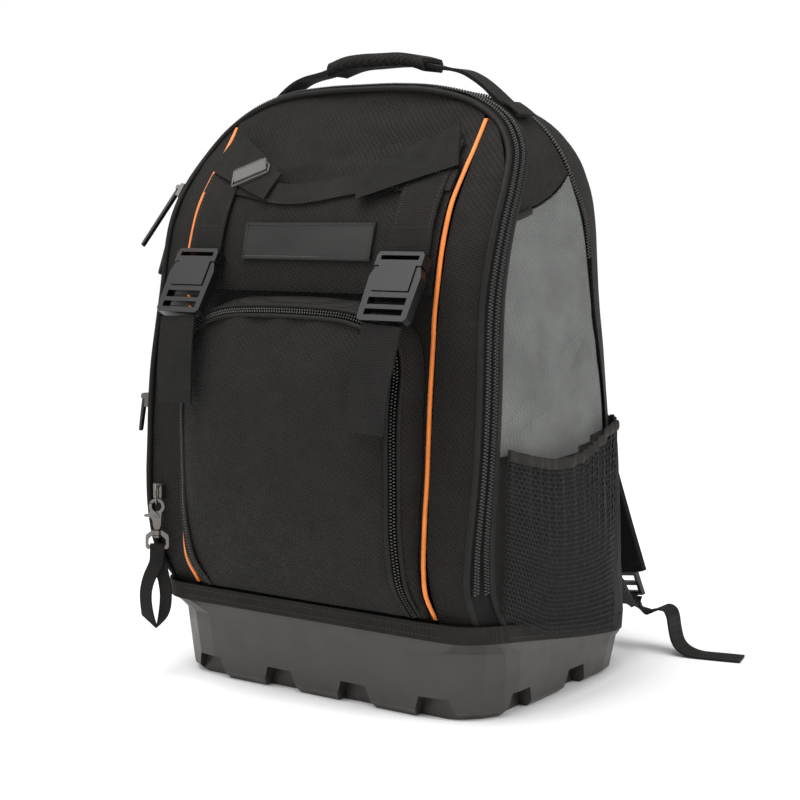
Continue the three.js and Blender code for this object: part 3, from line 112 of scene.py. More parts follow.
# The sky lights the bag less than it shows to the camera, so that the backdrop is white and the cloth dark.
sky_on_bag, sky_seen = 0.50, 1.02
world = bpy.data.worlds.new("studio")
world.use_nodes = True
sky = world.node_tree.nodes["Background"]
sky.inputs["Color"].default_value = (1, 1, 1, 1)
ray = world.node_tree.nodes.new("ShaderNodeLightPath")
strength = world.node_tree.nodes.new("ShaderNodeMapRange")
strength.inputs["To Min"].default_value = sky_on_bag
strength.inputs["To Max"].default_value = sky_seen
world.node_tree.links.new(ray.outputs["Is Camera Ray"], strength.inputs["Value"])
world.node_tree.links.new(strength.outputs["Result"], sky.inputs["Strength"])
scene.world = world
scene.view_settings.view_transform = "Standard"

sun = bpy.data.objects.new("light_sky", bpy.data.lights.new("light_sky", "SUN"))
sun.data.energy = 1.95
sun.data.angle = math.radians(70)
sun.rotation_euler = Vector((0.15, 0.50, -1.0)).to_track_quat("-Z", "Y").to_euler()
scene.collection.objects.link(sun)
soft_box("light_top", (-0.2, -0.5, 2.1), (0, 0, 0.2), 1.2, 1.0, 22)
soft_box("light_right", (1.9, 0.1, 1.0), (0.1, 0, 0.3), 0.8, 1.4, 16)


# Black cloth shell: the front, its borders beside the zip, the top, the rear gusset and the wings
# behind the net pockets. It is heavy woven polyester in warm black with a coarse slanting weave, cut
# in panels and sewn together, and it creases where the bag is empty behind it.
def wave(tree, lay, direction, pitch):
    """Sine across the weave, along a direction in the cloth, with its pitch in metres."""
    dot = tree.nodes.new("ShaderNodeVectorMath")
    dot.operation = "DOT_PRODUCT"
    turn_rate = 2 * math.pi / pitch
    dot.inputs[1].default_value = (direction[0] * turn_rate, direction[1] * turn_rate, 0)
    sine = tree.nodes.new("ShaderNodeMath")
    sine.operation = "SINE"
    tree.links.new(lay, dot.inputs[0])
    tree.links.new(dot.outputs["Value"], sine.inputs[0])
    return sine.outputs["Value"]


def woven(name, dark, light, threads, roughness, depth):
    """Cloth whose height follows its threads, given as two (direction, pitch), and whose colour darkens in
    the low parts of the weave as painted shade.
    """
    material, tree, shader = new_material(name, light, roughness)
    lay = tree.nodes.new("ShaderNodeUVMap")
    lay.uv_map = "lay"
    first, second = (wave(tree, lay.outputs["UV"], way, pitch) for way, pitch in threads)
    crossed = tree.nodes.new("ShaderNodeMath")
    crossed.operation = "MULTIPLY"
    tree.links.new(first, crossed.inputs[0])
    tree.links.new(second, crossed.inputs[1])
    height = tree.nodes.new("ShaderNodeMath")
    height.operation = "MULTIPLY_ADD"
    height.inputs[1].default_value = 0.45
    tree.links.new(first, height.inputs[0])
    tree.links.new(crossed.outputs["Value"], height.inputs[2])
    span = tree.nodes.new("ShaderNodeMapRange")
    span.inputs["From Min"].default_value = -1.1
    span.inputs["From Max"].default_value = 1.1
    tree.links.new(height.outputs["Value"], span.inputs["Value"])
    # Painted shade: the colour is dark where the weave is low and light where it is high, so the thread
    # pattern carries shade between the threads.
    tint = tree.nodes.new("ShaderNodeMix")
    tint.data_type = "RGBA"
    tint.inputs["A"].default_value = (*dark, 1)
    tint.inputs["B"].default_value = (*light, 1)
    tree.links.new(span.outputs["Result"], tint.inputs["Factor"])
    worn = tree.nodes.new("ShaderNodeHueSaturation")
    tree.links.new(uneven(tree, 22, 0.82, 1.16), worn.inputs["Value"])
    tree.links.new(tint.outputs["Result"], worn.inputs["Color"])
    tree.links.new(worn.outputs["Color"], shader.inputs["Base Color"])
    tree.links.new(uneven(tree, 90, roughness - 0.06, min(roughness + 0.06, 1)), shader.inputs["Roughness"])
    bump = tree.nodes.new("ShaderNodeBump")
    bump.inputs["Strength"].default_value = 0.8
    bump.inputs["Distance"].default_value = depth
    tree.links.new(height.outputs["Value"], bump.inputs["Height"])
    tree.links.new(bump.outputs["Normal"], shader.inputs["Normal"])
    shader.inputs["Specular IOR Level"].default_value = 0.2
    return material


def show(name, mesh, material, replaced=(), lay=None):
    """Makes a piece of a mesh, lays its weave, and says what it rides on and stands for."""
    mesh.shade_smooth()
    mesh.set_sharp_from_angle(angle=math.radians(52))
    if lay:
        spots = np.zeros(len(mesh.vertices) * 3)
        mesh.vertices.foreach_get("co", spots)
        corners = np.zeros(len(mesh.loops), int)
        mesh.loops.foreach_get("vertex_index", corners)
        flat = np.stack(lay(spots.reshape(-1, 3)), 1)[corners]
        mesh.uv_layers.new(name="lay").data.foreach_set("uv", flat.ravel())
    mesh.materials.clear()
    mesh.materials.append(material)
    piece = bpy.data.objects.new(name, mesh)
    scene.collection.objects.link(piece)
    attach(piece, "bag")
    if replaced:
        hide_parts(*replaced)
    return piece


def softened(node, level, move):
    """Rounded, denser copy of a CAD solid. move gives how far each of its points goes out."""
    nearly_flat, sharp = math.radians(40), math.radians(50)
    source = nodes[node].data
    rough = bpy.data.meshes.new("rough")
    rough.from_pydata([v.co[:] for v in source.vertices], [], [f.vertices[:] for f in source.polygons])
    shape = bmesh.new()
    shape.from_mesh(rough)
    bmesh.ops.remove_doubles(shape, verts=shape.verts, dist=1e-5)
    bmesh.ops.join_triangles(shape, faces=shape.faces, angle_face_threshold=nearly_flat,
                             angle_shape_threshold=math.pi)
    crease = shape.edges.layers.float.new("crease_edge")
    for edge in shape.edges:
        if edge.calc_face_angle(0) > sharp:
            edge[crease] = 1
    shape.to_mesh(rough)
    shape.free()
    holder = bpy.data.objects.new("holder", rough)
    scene.collection.objects.link(holder)
    finer = holder.modifiers.new("finer", "SUBSURF")
    finer.levels = finer.render_levels = level
    made = bpy.data.meshes.new_from_object(holder.evaluated_get(bpy.context.evaluated_depsgraph_get()))
    bpy.data.objects.remove(holder)
    if move:
        outs = [v.normal.copy() for v in made.vertices]
        for point, out in zip(made.vertices, outs):
            point.co += out * move(point.co, out)
    return made


def sewn(name, node, material, lay=None, level=3, move=None):
    """Soft piece in place of one CAD solid, as a softened copy of it."""
    return show(name, softened(node, level, move), material, [node], lay)


def facing_front(p):
    """Weave laid on a face that looks forward."""
    return p[:, 0], p[:, 2]


def facing_side(p):
    """Weave laid on a face that looks sideways."""
    return p[:, 1], p[:, 2]


def over_arch(p):
    """Weave laid up the sides and over the arch of the bag, which starts at a height of 0.40."""
    angle = np.arctan2(np.maximum(p[:, 2] - 0.40, 0), np.abs(p[:, 0]))
    return p[:, 1], np.minimum(p[:, 2], 0.40) + angle * 0.165


def fade(value, low, high):
    """Smooth rise from 0 at low to 1 at high."""
    t = min(max((value - low) / (high - low), 0), 1)
    return t * t * (3 - 2 * t)


def looks_forward(out):
    """Whether a point lies on the front face of a piece, not on its edge or back."""
    return out.y <= -0.2


slant = 2 ** -0.5
twill = [((slant, -slant), 0.0021), ((slant, slant), 0.0034)]
black_cloth = woven("black_cloth", (0.0008, 0.0007, 0.0006), (0.0200, 0.0178, 0.0156), twill, 0.72, 0.0005)


def front_folds(p, out):
    """Slanting soft folds below the arch and a tuck over the mouth of the slip pocket."""
    if not looks_forward(out):
        return 0
    mouth = 0.459 - p.x ** 2
    slanting = noise.noise(Vector((p.x * 9 + p.z * 20, p.z * 30 - p.x * 12, 2.0)))
    tuck = math.exp(-((p.z - mouth) / 0.0035) ** 2)
    return 0.0036 * slanting * fade(p.z, 0.42, 0.46) + 0.0016 * tuck * fade(0.11 - abs(p.x), 0, 0.03)


def border_folds(p, out):
    """Small pulls across the narrow border."""
    if not looks_forward(out):
        return 0
    return 0.0010 * noise.noise(Vector((p.x * 20, 0.3, p.z * 55)))


def gusset_dents(p, out):
    """Broad shallow dents."""
    return 0.0016 * noise.noise(Vector((p.x * 14, p.y * 18, p.z * 16 + 5)))


def wing_folds(p, out):
    """Upright folds where the cloth is gathered round the corner."""
    return 0.0014 * math.sin(p.y * 420 + 3 * noise.noise(p * 20)) * fade(p.z, 0.08, 0.16)


sewn("front_cloth", "front_panel", black_cloth, facing_front, 3, front_folds)
for side in ("left", "right"):
    sewn(f"border_cloth_{side}", f"front_border_{side}", black_cloth, facing_front, 3,
         border_folds)
    sewn(f"wing_cloth_{side}", f"net_wing_{side}", black_cloth, facing_side, 3, wing_folds)
sewn("top_cloth", "top_panel", black_cloth, over_arch, 2, gusset_dents)
sewn("rear_cloth", "rear_gusset", black_cloth, over_arch, 2, gusset_dents)


# Grey side panels: the same heavy weave in mid grey, sewn into the black shell, with soft hollows
# where the bag is empty behind. Below the edge of the net pocket each panel is black cloth, as painted
# shade inside the pocket.
grey_cloth = woven("grey_cloth", (0.045, 0.048, 0.046), (0.215, 0.223, 0.213), twill, 0.82, 0.0005)
net_front, net_rear = -0.121, 0.070
net_run = net_rear - net_front


def side_dents(p, out):
    """Soft hollows and two slanting creases low in the panel."""
    if abs(out.x) < 0.3:
        return 0
    hollow = noise.noise(Vector((p.y * 13, p.z * 15, 4.0 if p.x > 0 else 9.0)))
    crease = math.exp(-((p.z - 0.288 - 0.55 * (p.y + 0.03)) / 0.010) ** 2)
    crease += 0.7 * math.exp(-((p.z - 0.262 - 0.30 * (p.y + 0.05)) / 0.008) ** 2)
    edge = fade(0.06 - p.y, 0, 0.05) * fade(p.y + 0.125, 0, 0.04)
    return edge * (0.0022 * hollow * fade(p.z, 0.10, 0.2) - 0.0026 * crease)


def pocket_shade_edge(y):
    """Height that the painted shade inside the net pocket reaches, which follows the sag of the net's edge.
    """
    back = min(max((y - net_front) / net_run, 0), 1)
    return 0.225 - 0.017 * math.sin(math.pi * min(back * 1.15, 1)) + 0.006 * back


for side in ("left", "right"):
    panel = sewn(f"side_cloth_{side}", f"side_panel_{side}", grey_cloth, facing_side, 3,
                 side_dents)
    # Painted shade: below the net's edge the panel gets the black cloth, standing in for the shade inside
    # the pocket.
    panel.data.materials.append(black_cloth)
    for face in panel.data.polygons:
        face.material_index = int(face.center.z < pocket_shade_edge(face.center.y))


# Zips: woven tapes with nylon coil teeth. The main zip has two rows side by side over the arch, with
# a smooth bound edge on either side, and the rear and pocket zips have one row.
zip_centre = 0.2  # height of the point that the zips run round


def points_of(node):
    """Separate points of a CAD solid."""
    return np.unique(np.round([v.co[:] for v in nodes[node].data.vertices], 5), axis=0)


def rings_of(node):
    """Rings of four corners of a strip that runs over the bag, from low left to low right."""
    spots = points_of(node)
    order = np.argsort(np.arctan2(spots[:, 0], spots[:, 2] - zip_centre))
    return spots[order].reshape(-1, 4, 3)


def strip_rows(node, flat=False):
    """Rows of (middle of the top, direction across, direction out) along a strip. The two edges of
    a flat strip are told apart by their distance from the centre, and the others by their depth."""
    rows = []
    for ring in rings_of(node):
        reach = np.hypot(ring[:, 0], ring[:, 2] - zip_centre)
        order = np.argsort(reach if flat else ring[:, 1])
        ring, reach = ring[order], reach[order]
        outward = -ring[:, 1] if flat else reach
        tops = [ring[k + int(np.argmax(outward[k:k + 2]))] for k in (0, 2)]
        top = (tops[0] + tops[1]) / 2
        across = (tops[1] - tops[0]) / np.linalg.norm(tops[1] - tops[0])
        out = top - ring.mean(0)
        out -= across * out.dot(across)
        rows.append([*top, *across, *(out / np.linalg.norm(out))])
    return np.array(rows)


def resampled(rows, step):
    """Evenly spaced rows on a smooth line through the given ones. A row starts with its place."""
    rows = np.asarray(rows, float)
    padded = np.vstack([2 * rows[0] - rows[1], rows, 2 * rows[-1] - rows[-2]])
    t = np.linspace(0, 1, 24, endpoint=False)[:, None]
    dense = []
    for a, b, c, d in zip(padded, padded[1:], padded[2:], padded[3:]):
        dense.append(0.5 * (2 * b + (c - a) * t + (2 * a - 5 * b + 4 * c - d) * t ** 2
                            + (3 * b - a - 3 * c + d) * t ** 3))
    dense = np.vstack([*dense, rows[-1:]])
    run = np.r_[0, np.cumsum(np.linalg.norm(np.diff(dense[:, :3], axis=0), axis=1))]
    places = np.linspace(0, run[-1], max(int(round(run[-1] / step)), 2) + 1)
    return np.stack([np.interp(places, run, dense[:, k]) for k in range(rows.shape[1])], 1)


def along_rows(rows):
    """Unit direction of a line at each of its rows."""
    way = np.gradient(rows[:, :3], axis=0)
    return way / np.linalg.norm(way, axis=1)[:, None]


def beads(rows, size, shift=(0, 0)):
    """Small rounded lumps along rows. size is (along, across, high), shift is (across, out)."""
    shape = bmesh.new()
    bmesh.ops.create_uvsphere(shape, u_segments=6, v_segments=4, radius=0.5)
    lump = np.array([v.co[:] for v in shape.verts])
    faces = [[v.index for v in f.verts] for f in shape.faces]
    shape.free()
    way = along_rows(rows)
    spots, polygons = [], []
    for k, row in enumerate(rows):
        middle = row[:3] + row[3:6] * shift[0] + row[6:9] * shift[1]
        axes = np.stack([way[k] * size[0], row[3:6] * size[1], row[6:9] * size[2]])
        polygons += [[i + len(lump) * k for i in f] for f in faces]
        spots.append(middle + lump @ axes)
    return np.vstack(spots), polygons


def swept(rows, section, closed=False):
    """Skin of a section (across, out) carried along rows, with closed ends."""
    section = np.array(section)
    count = len(section)
    across, out = section[None, :, :1] * rows[:, None, 3:6], section[None, :, 1:] * rows[:, None, 6:9]
    spots = rows[:, None, :3] + across + out
    polygons = []
    for k in range(len(rows) - (0 if closed else 1)):
        a, b = k * count, ((k + 1) % len(rows)) * count
        polygons += [[a + i, a + (i + 1) % count, b + (i + 1) % count, b + i] for i in range(count)]
    if not closed:
        polygons += [list(range(count))[::-1], [len(rows) * count - count + i for i in range(count)]]
    return spots.reshape(-1, 3), polygons


def mesh_of(name, *parts):
    """One mesh of several (points, faces), with its faces turned outward."""
    spots, polygons, start = [], [], 0
    for points, faces in parts:
        spots.append(points)
        polygons += [[i + start for i in f] for f in faces]
        start += len(points)
    mesh = bpy.data.meshes.new(name)
    mesh.from_pydata(np.vstack(spots).tolist(), [], polygons)
    shape = bmesh.new()
    shape.from_mesh(mesh)
    bmesh.ops.recalc_face_normals(shape, faces=shape.faces)
    shape.to_mesh(mesh)
    shape.free()
    return mesh


def oval(width, height, sides=12, across=0.0, out=0.0):
    """Oval section, moved across and outward from its line."""
    turns = [2 * math.pi * k / sides for k in range(sides)]
    return [(width / 2 * math.cos(a) + across, height / 2 * math.sin(a) + out) for a in turns]


coil = one_colour("zip_coil", (0.050, 0.048, 0.046), 300, 0.25, 0.42)
ribs = [((0, 1), 0.0016), ((1, 0), 0.0023)]
tape_cloth = woven("zip_tape", (0.001, 0.001, 0.001), (0.006, 0.006, 0.0055), ribs, 0.8, 0.0002)
binding_ribs = [((1, 0), 0.0011), ((0, 1), 0.0013)]
bound = woven("bound_edge", (0.0045, 0.004, 0.0035), (0.0115, 0.0102, 0.009), binding_ribs, 0.62, 0.0001)


def teeth(name, node, flat=False):
    """Two rows of coil teeth that mesh along the middle of a chain."""
    tooth = (0.0016, 0.0027, 0.0024)
    pitch, aside, sunk = 0.0027, 0.00135, -0.0009
    near = resampled(strip_rows(node, flat), pitch)
    far = near[:-1].copy()
    far[:, :3] = (near[:-1, :3] + near[1:, :3]) / 2
    rows = beads(near, tooth, (-aside, sunk)), beads(far, tooth, (aside, sunk))
    show(name, mesh_of(name, *rows), coil, [node])


def binding(name, lay, *edges, cloth=bound):
    """Bound edges as one piece, each given as (rows, section)."""
    skins = [swept(rows, section) for rows, section in edges]
    show(name, mesh_of(name, *skins), cloth, (), lay)


teeth("main_teeth_front", "main_zip_chain_front")
teeth("main_teeth_rear", "main_zip_chain_rear")
teeth("rear_teeth", "rear_zip_chain")
teeth("pocket_teeth", "pocket_zip_chain", True)
sewn("main_tape", "main_zip_tape", tape_cloth, over_arch, 2)
sewn("rear_tape", "rear_zip_tape", tape_cloth, over_arch, 2)
tape_line = resampled(strip_rows("main_zip_tape"), 0.004)
binding("main_zip_welts", over_arch, (tape_line, oval(0.0064, 0.0056, across=-0.0112, out=-0.0022)),
        (tape_line, oval(0.0066, 0.0026, across=0.0128, out=0.0004)))


# Piping: an orange cord with a fine twist, let into the seam on either side of the front, from the
# hem up to where the arch begins.
piping_colour = (0.78, 0.20, 0.018)
orange, tree, shader = new_material("piping_orange", piping_colour, 0.5)
tint = tree.nodes.new("ShaderNodeHueSaturation")
tint.inputs["Color"].default_value = (*piping_colour, 1)
tree.links.new(uneven(tree, 60, 0.85, 1.15), tint.inputs["Value"])
tree.links.new(tint.outputs["Color"], shader.inputs["Base Color"])
shader.inputs["Sheen Weight"].default_value = 0.2
cord_radius, cord_sides, cord_step = 0.0019, 10, 0.0005
twist_pitch, twist_height = 0.0019, 0.00018
for side in ("left", "right"):
    spots = points_of(f"piping_{side}")
    spots = spots[np.argsort(spots[:, 2])].reshape(-1, 5, 3).mean(1)
    line = resampled(np.hstack([spots, np.tile([1, 0, 0, 0, -1, 0], (len(spots), 1))]), cord_step)
    run = np.arange(len(line)) * cord_step
    ridges = []
    for k in range(cord_sides):
        angle = 2 * math.pi * k / cord_sides
        reach = cord_radius + twist_height * np.sin(2 * math.pi * run / twist_pitch + 2 * angle)
        ridges.append(line[:, :3] + reach[:, None] * np.array([math.cos(angle), -math.sin(angle), 0]))
    skin = np.stack(ridges, 1).reshape(-1, 3)
    _, faces = swept(line, oval(2 * cord_radius, 2 * cord_radius, cord_sides))
    show(f"piping_cord_{side}", mesh_of("piping", (skin, faces)), orange, [f"piping_{side}"])


# Front pocket: a full domed face of the shell's cloth inside its zip, on a gusset, with a welt folded
# over each edge of the zip.
def pocket_folds(p, out):
    """Waves under the top of the zip, and slack dents lower down."""
    if not looks_forward(out):
        return 0
    waves = noise.noise(Vector((p.x * 30, p.z * 16, 7.0))) * fade(p.z, 0.25, 0.32)
    slack = noise.noise(Vector((p.x * 9, p.z * 8, 1.5)))
    edge = fade(0.112 - abs(p.x), 0, 0.02) * fade(p.z, 0.085, 0.11)
    return edge * (0.0045 * waves + 0.0034 * slack)


def pocket_gusset_folds(p, out):
    """Short pulls across the gusset."""
    return 0.0011 * noise.noise(Vector((p.x * 40, p.y * 12, p.z * 40)))


sewn("pocket_cloth", "pocket_face", black_cloth, facing_front, 3, pocket_folds)
sewn("pocket_gusset_cloth", "pocket_gusset", black_cloth, facing_side, 3, pocket_gusset_folds)
pocket_line = resampled(strip_rows("pocket_zip_chain", True), 0.003)
binding("pocket_welts", facing_front, (pocket_line, oval(0.0040, 0.0030, across=-0.0052, out=-0.0010)),
        (pocket_line, oval(0.0042, 0.0036, across=0.0052, out=-0.0014)))


# Slip pocket: an open pocket across the upper front, of the shell's cloth. Its hem is bound in
# heathered tape and droops between the straps.
def slip_folds(p, out):
    """Slack folds that hang from the droop of the hem."""
    if not looks_forward(out):
        return 0
    hang = noise.noise(Vector((p.x * 26, p.z * 9, 3.0))) * fade(p.z, 0.37, 0.44)
    return 0.0009 + 0.0016 * hang


hem_ribs = [((1, 0), 0.0017), ((0, 1), 0.0012)]
hem_cloth = woven("hem_cloth", (0.003, 0.0028, 0.0025), (0.024, 0.021, 0.019), hem_ribs, 0.8, 0.0002)
slip_cloth = sewn("slip_cloth", "slip_pocket", black_cloth, facing_front, 3, slip_folds)
slip_hem = sewn("slip_hem", "slip_pocket_hem", hem_cloth, facing_front, 3, slip_folds)


# Straps on the front: ribbed webbing that runs down to each buckle and hangs from it as a tail, and
# a loop of the same webbing sewn aslant over the top of each strap.
webbing_ribs = [((0, 1), 0.0020), ((1, 0), 0.0016)]
webbing = woven("webbing", (0.0008, 0.0007, 0.0006), (0.0150, 0.0134, 0.0118), webbing_ribs, 0.7, 0.00035)
loop_slope = math.radians(22.5)


def laid_along(way, across):
    """Weave laid along a strap of that direction."""
    way, across = np.array(way), np.array(across)
    return lambda p: (p @ across, p @ way)


def strap_pulls(p, out):
    """Slight unevenness of a strap."""
    return 0.0005 * noise.noise(p * 60)


for side, sign in (("left", -1), ("right", 1)):
    for name, node in ((f"strap_web_{side}", f"strap_{side}"), (f"tail_web_{side}", f"strap_tail_{side}")):
        sewn(name, node, webbing, facing_front, 3, strap_pulls)
    along_loop = laid_along((-sign * math.cos(loop_slope), 0, -math.sin(loop_slope)),
                            (-sign * math.sin(loop_slope), 0, math.cos(loop_slope)))
    sewn(f"loop_web_{side}", f"webbing_loop_{side}", webbing, along_loop, 3, strap_pulls)


# Buckles: black side-release buckles, moulded in satin plastic with softened edges. The strap is
# threaded through the socket, and its tail hangs from the plug's frame.
def dressed(node, material, bevel, angle=30, segments=3):
    """Gives a CAD part its material, softened edges and smooth shading."""
    part = nodes[node]
    for slot in part.material_slots:
        slot.link = "OBJECT"
        slot.material = material
    edge = part.modifiers.new("softened_edges", "BEVEL")
    edge.width = bevel
    edge.segments = segments
    edge.limit_method = "ANGLE"
    edge.angle_limit = math.radians(angle)
    part.modifiers.new("shading", "WEIGHTED_NORMAL").keep_sharp = False


def moulded(name, colour, roughness, grain_scale, depth, metallic=0.0):
    """Plastic, rubber or metal with a fine grain and uneven gloss."""
    material, tree, shader = new_material(name, colour, roughness, metallic)
    tint = tree.nodes.new("ShaderNodeHueSaturation")
    tint.inputs["Color"].default_value = (*colour, 1)
    tree.links.new(uneven(tree, 35, 0.88, 1.12), tint.inputs["Value"])
    tree.links.new(tint.outputs["Color"], shader.inputs["Base Color"])
    tree.links.new(uneven(tree, 50, roughness - 0.07, roughness + 0.07, 5), shader.inputs["Roughness"])
    bump = tree.nodes.new("ShaderNodeBump")
    bump.inputs["Strength"].default_value = 0.5
    bump.inputs["Distance"].default_value = depth
    tree.links.new(uneven(tree, grain_scale, 0, 1, 2), bump.inputs["Height"])
    tree.links.new(bump.outputs["Normal"], shader.inputs["Normal"])
    return material


satin = moulded("buckle_plastic", (0.0035, 0.0033, 0.0031), 0.33, 900, 0.00006)
for side in ("left", "right"):
    dressed(f"buckle_socket_{side}", satin, 0.0012)
    dressed(f"buckle_plug_{side}", satin, 0.0012)


# Patch: a bare moulded rubber label between the straps, with a raised frame, sewn on by a line of
# stitches just inside the frame.
rubber = moulded("patch_rubber", (0.0085, 0.0078, 0.007), 0.5, 700, 0.0001)
patch = sewn("patch_face", "bare_patch", rubber)
thread = one_colour("thread", (0.030, 0.027, 0.024), 400, 0.5, 0.7)


def skin_of(*pieces):
    """Outer skins of pieces, to lay things on."""
    spots, faces, start = [], [], 0
    for piece in pieces:
        spots += [v.co.copy() for v in piece.data.vertices]
        faces += [[i + start for i in f.vertices] for f in piece.data.polygons]
        start += len(piece.data.vertices)
    return BVHTree.FromPolygons(spots, faces)


def on_skin(skin, corners, step, way=(0, 1, 0), closed=False, lift=0.0):
    """Rows laid on a skin along a line of points, which are cast onto it along a direction."""
    way = Vector(way)
    corners = [Vector(corner) for corner in corners]
    ends = corners[1:] + corners[:1] if closed else corners[1:]
    rows = []
    for a, b in zip(corners, ends):
        count = max(int(round((b - a).length / step)), 1)
        across = (b - a).cross(way).normalized()
        for k in range(count):
            spot, out, _, _ = skin.ray_cast(a.lerp(b, k / count) - way * 0.2, way, 0.3)
            if spot is None:
                continue
            out = -out if out.dot(way) > 0 else out
            rows.append([*(spot + out * lift), *across, *out])
    return np.array(rows)


def stitched(name, *lines):
    """Rows of raised stitches, as one piece."""
    stitch = (0.0019, 0.0008, 0.0007)
    show(name, mesh_of(name, *[beads(line, stitch) for line in lines]), thread)


patch_skin = skin_of(patch)
frame_line = [(-0.0635, 0, 0.3822), (0.0695, 0, 0.3822), (0.0695, 0, 0.4098), (-0.0635, 0, 0.4098)]
frame_rows = on_skin(patch_skin, frame_line, 0.004, closed=True)
patch_frame = mesh_of("patch_frame", swept(frame_rows, oval(0.0026, 0.0018, 8), True))
show("patch_frame", patch_frame, rubber)
stitch_line = [(x * 0.955 + 0.0002, 0, 0.396 + (z - 0.396) * 0.78) for x, _, z in frame_line]
stitched("patch_stitches", on_skin(patch_skin, stitch_line, 0.0031, closed=True))


# Seam bindings: narrow folded tape sewn over the slanting seam between each grey panel and the black
# cloth above it.
for side, sign in (("left", -1), ("right", 1)):
    seam = [(sign * 0.18, -0.094 + 0.095 * v, 0.4157 + 0.035 * v ** 1.4) for v in np.linspace(0, 1, 12)]
    panel_skin = skin_of(bpy.data.objects[f"side_cloth_{side}"])
    seam_rows = on_skin(panel_skin, seam, 0.004, (-sign, 0, 0), lift=0.0003)
    binding(f"seam_binding_{side}", facing_side, (seam_rows, oval(0.0062, 0.0016, 10)))


# Tag: a small bare rubber tab with a raised rim, set aslant beside the left strap. It is stiff, so it
# leans back as one flat plate over the slip pocket's hem and the webbing loop.
tag_rubber = moulded("tag_rubber", (0.10, 0.095, 0.088), 0.45, 700, 0.0001)
tag_skin = skin_of(slip_hem, slip_cloth, bpy.data.objects["loop_web_left"])
tag_corners = [Vector(corner) for corner in ((-0.0905, 0, 0.4425), (-0.0560, 0, 0.4555),
                                             (-0.0600, 0, 0.4690), (-0.0945, 0, 0.4560))]
tag_ends = [tag_corners[0].lerp(tag_corners[3], 0.5), tag_corners[1].lerp(tag_corners[2], 0.5)]
tag_lean = 0.63  # how far it goes back for each metre that it goes up
tag_out = Vector((0, -1, tag_lean)).normalized()
tag_rows = on_skin(tag_skin, tag_ends, 0.004, lift=0.0022)
tag_front = (tag_rows[:, 1] - tag_lean * tag_rows[:, 2]).min()
tag_rows[:, 1] = tag_front + tag_lean * tag_rows[:, 2]
tag_rows[:, 3:6] = np.cross(along_rows(tag_rows), tag_out)
tag_rows[:, 6:9] = tag_out
tag_section = [(-0.0062, -0.0012), (0.0062, -0.0012), (0.0068, 0),
               (0.0062, 0.0010), (-0.0062, 0.0010), (-0.0068, 0)]
show("rubber_tag", mesh_of("rubber_tag", swept(tag_rows, tag_section)), tag_rubber)
rim_rows = on_skin(tag_skin, tag_corners, 0.002, closed=True)
rim_rows[:, 1] = tag_front + tag_lean * rim_rows[:, 2] - 0.0010
rim_rows[:, 6:9] = tag_out
tag_rim = mesh_of("tag_rim", swept(rim_rows, oval(0.0016, 0.0014, 8), True))
show("tag_rim", tag_rim, tag_rubber)


# Stitches on the front: a row along the drooping hem of the slip pocket, and a box of stitches that
# holds the sewn end of each strap.
droop_middle, droop_half, droop_depth = -0.022, 0.078, 0.013
slip_hem_line = []
for x in np.linspace(-0.085, 0.085, 24):
    share = min(max((x - droop_middle) / droop_half, -1), 1)
    slip_hem_line.append((x, 0, 0.4405 - droop_depth * math.cos(share * math.pi / 2) ** 2))
stitched("slip_hem_stitches", on_skin(skin_of(slip_hem), slip_hem_line, 0.0033))

strap_middle, box_half, box_low, box_high = 0.108, 0.016, 0.408, 0.452
for side, sign in (("left", -1), ("right", 1)):
    web_skin = skin_of(bpy.data.objects[f"strap_web_{side}"], bpy.data.objects[f"tail_web_{side}"])
    inner, outer = sign * strap_middle - box_half, sign * strap_middle + box_half
    box_line = [(inner, 0, box_low), (outer, 0, box_low), (outer, 0, box_high), (inner, 0, box_high)]
    stitched(f"strap_stitches_{side}", on_skin(web_skin, box_line, 0.0031, closed=True))


# Side pockets of net: an open knitted mesh with six-sided holes, sewn into the seams in front and
# behind, and gathered under a smooth bound edge that sags.
net_yarn = one_colour("net_yarn", (0.004, 0.0038, 0.0036), 200, 0.5, 0.72)
net_ribs = [((1, 0), 0.0012), ((0, 1), 0.0012)]
net_bound = woven("net_bound_edge", (0.010, 0.0085, 0.0075), (0.026, 0.022, 0.019), net_ribs, 0.6, 0.0001)
holes_across, holes_up = 46, 38
hole_corner, row_rise = 0.577, 0.866  # with holes 1 apart: middle to corner, and one row to the next


def net_surface(side, sign):
    """Smooth surface fitted to the solid of a net, as a function that gives a place on it."""
    spots = points_of(f"net_pocket_{side}")
    y, z = spots[:, 1], spots[:, 2]
    powers = [(a, b) for a in range(6) for b in range(6 - a)]

    def terms(y, z):
        """Powers of the depth and the height that the net's bulge is fitted on."""
        return np.stack([(y / 0.1) ** a * ((z - 0.15) / 0.1) ** b for a, b in powers], -1)

    fit = np.linalg.lstsq(terms(y, z), spots[:, 0], rcond=None)[0]
    stations = np.linspace(net_front, net_rear, 16)
    columns = [z[np.abs(y - at) < 0.0012] for at in stations]
    low, high = [column.min() for column in columns], [column.max() for column in columns]

    def net_spot(back, up, out=0.0):
        """Place on the net, a share back from its front and a share up."""
        depth = net_front + net_run * back
        bottom, top = np.interp(depth, stations, low), np.interp(depth, stations, high)
        height = bottom + (top - bottom) * up
        folds = 0.0016 * np.sin(depth * 480 + 2.2 * np.sin(depth * 90)) * np.clip(up * 1.6 - 0.5, 0, 1)
        return np.array([(terms(depth, height) @ fit) + sign * (folds + out), depth, height])

    return net_spot


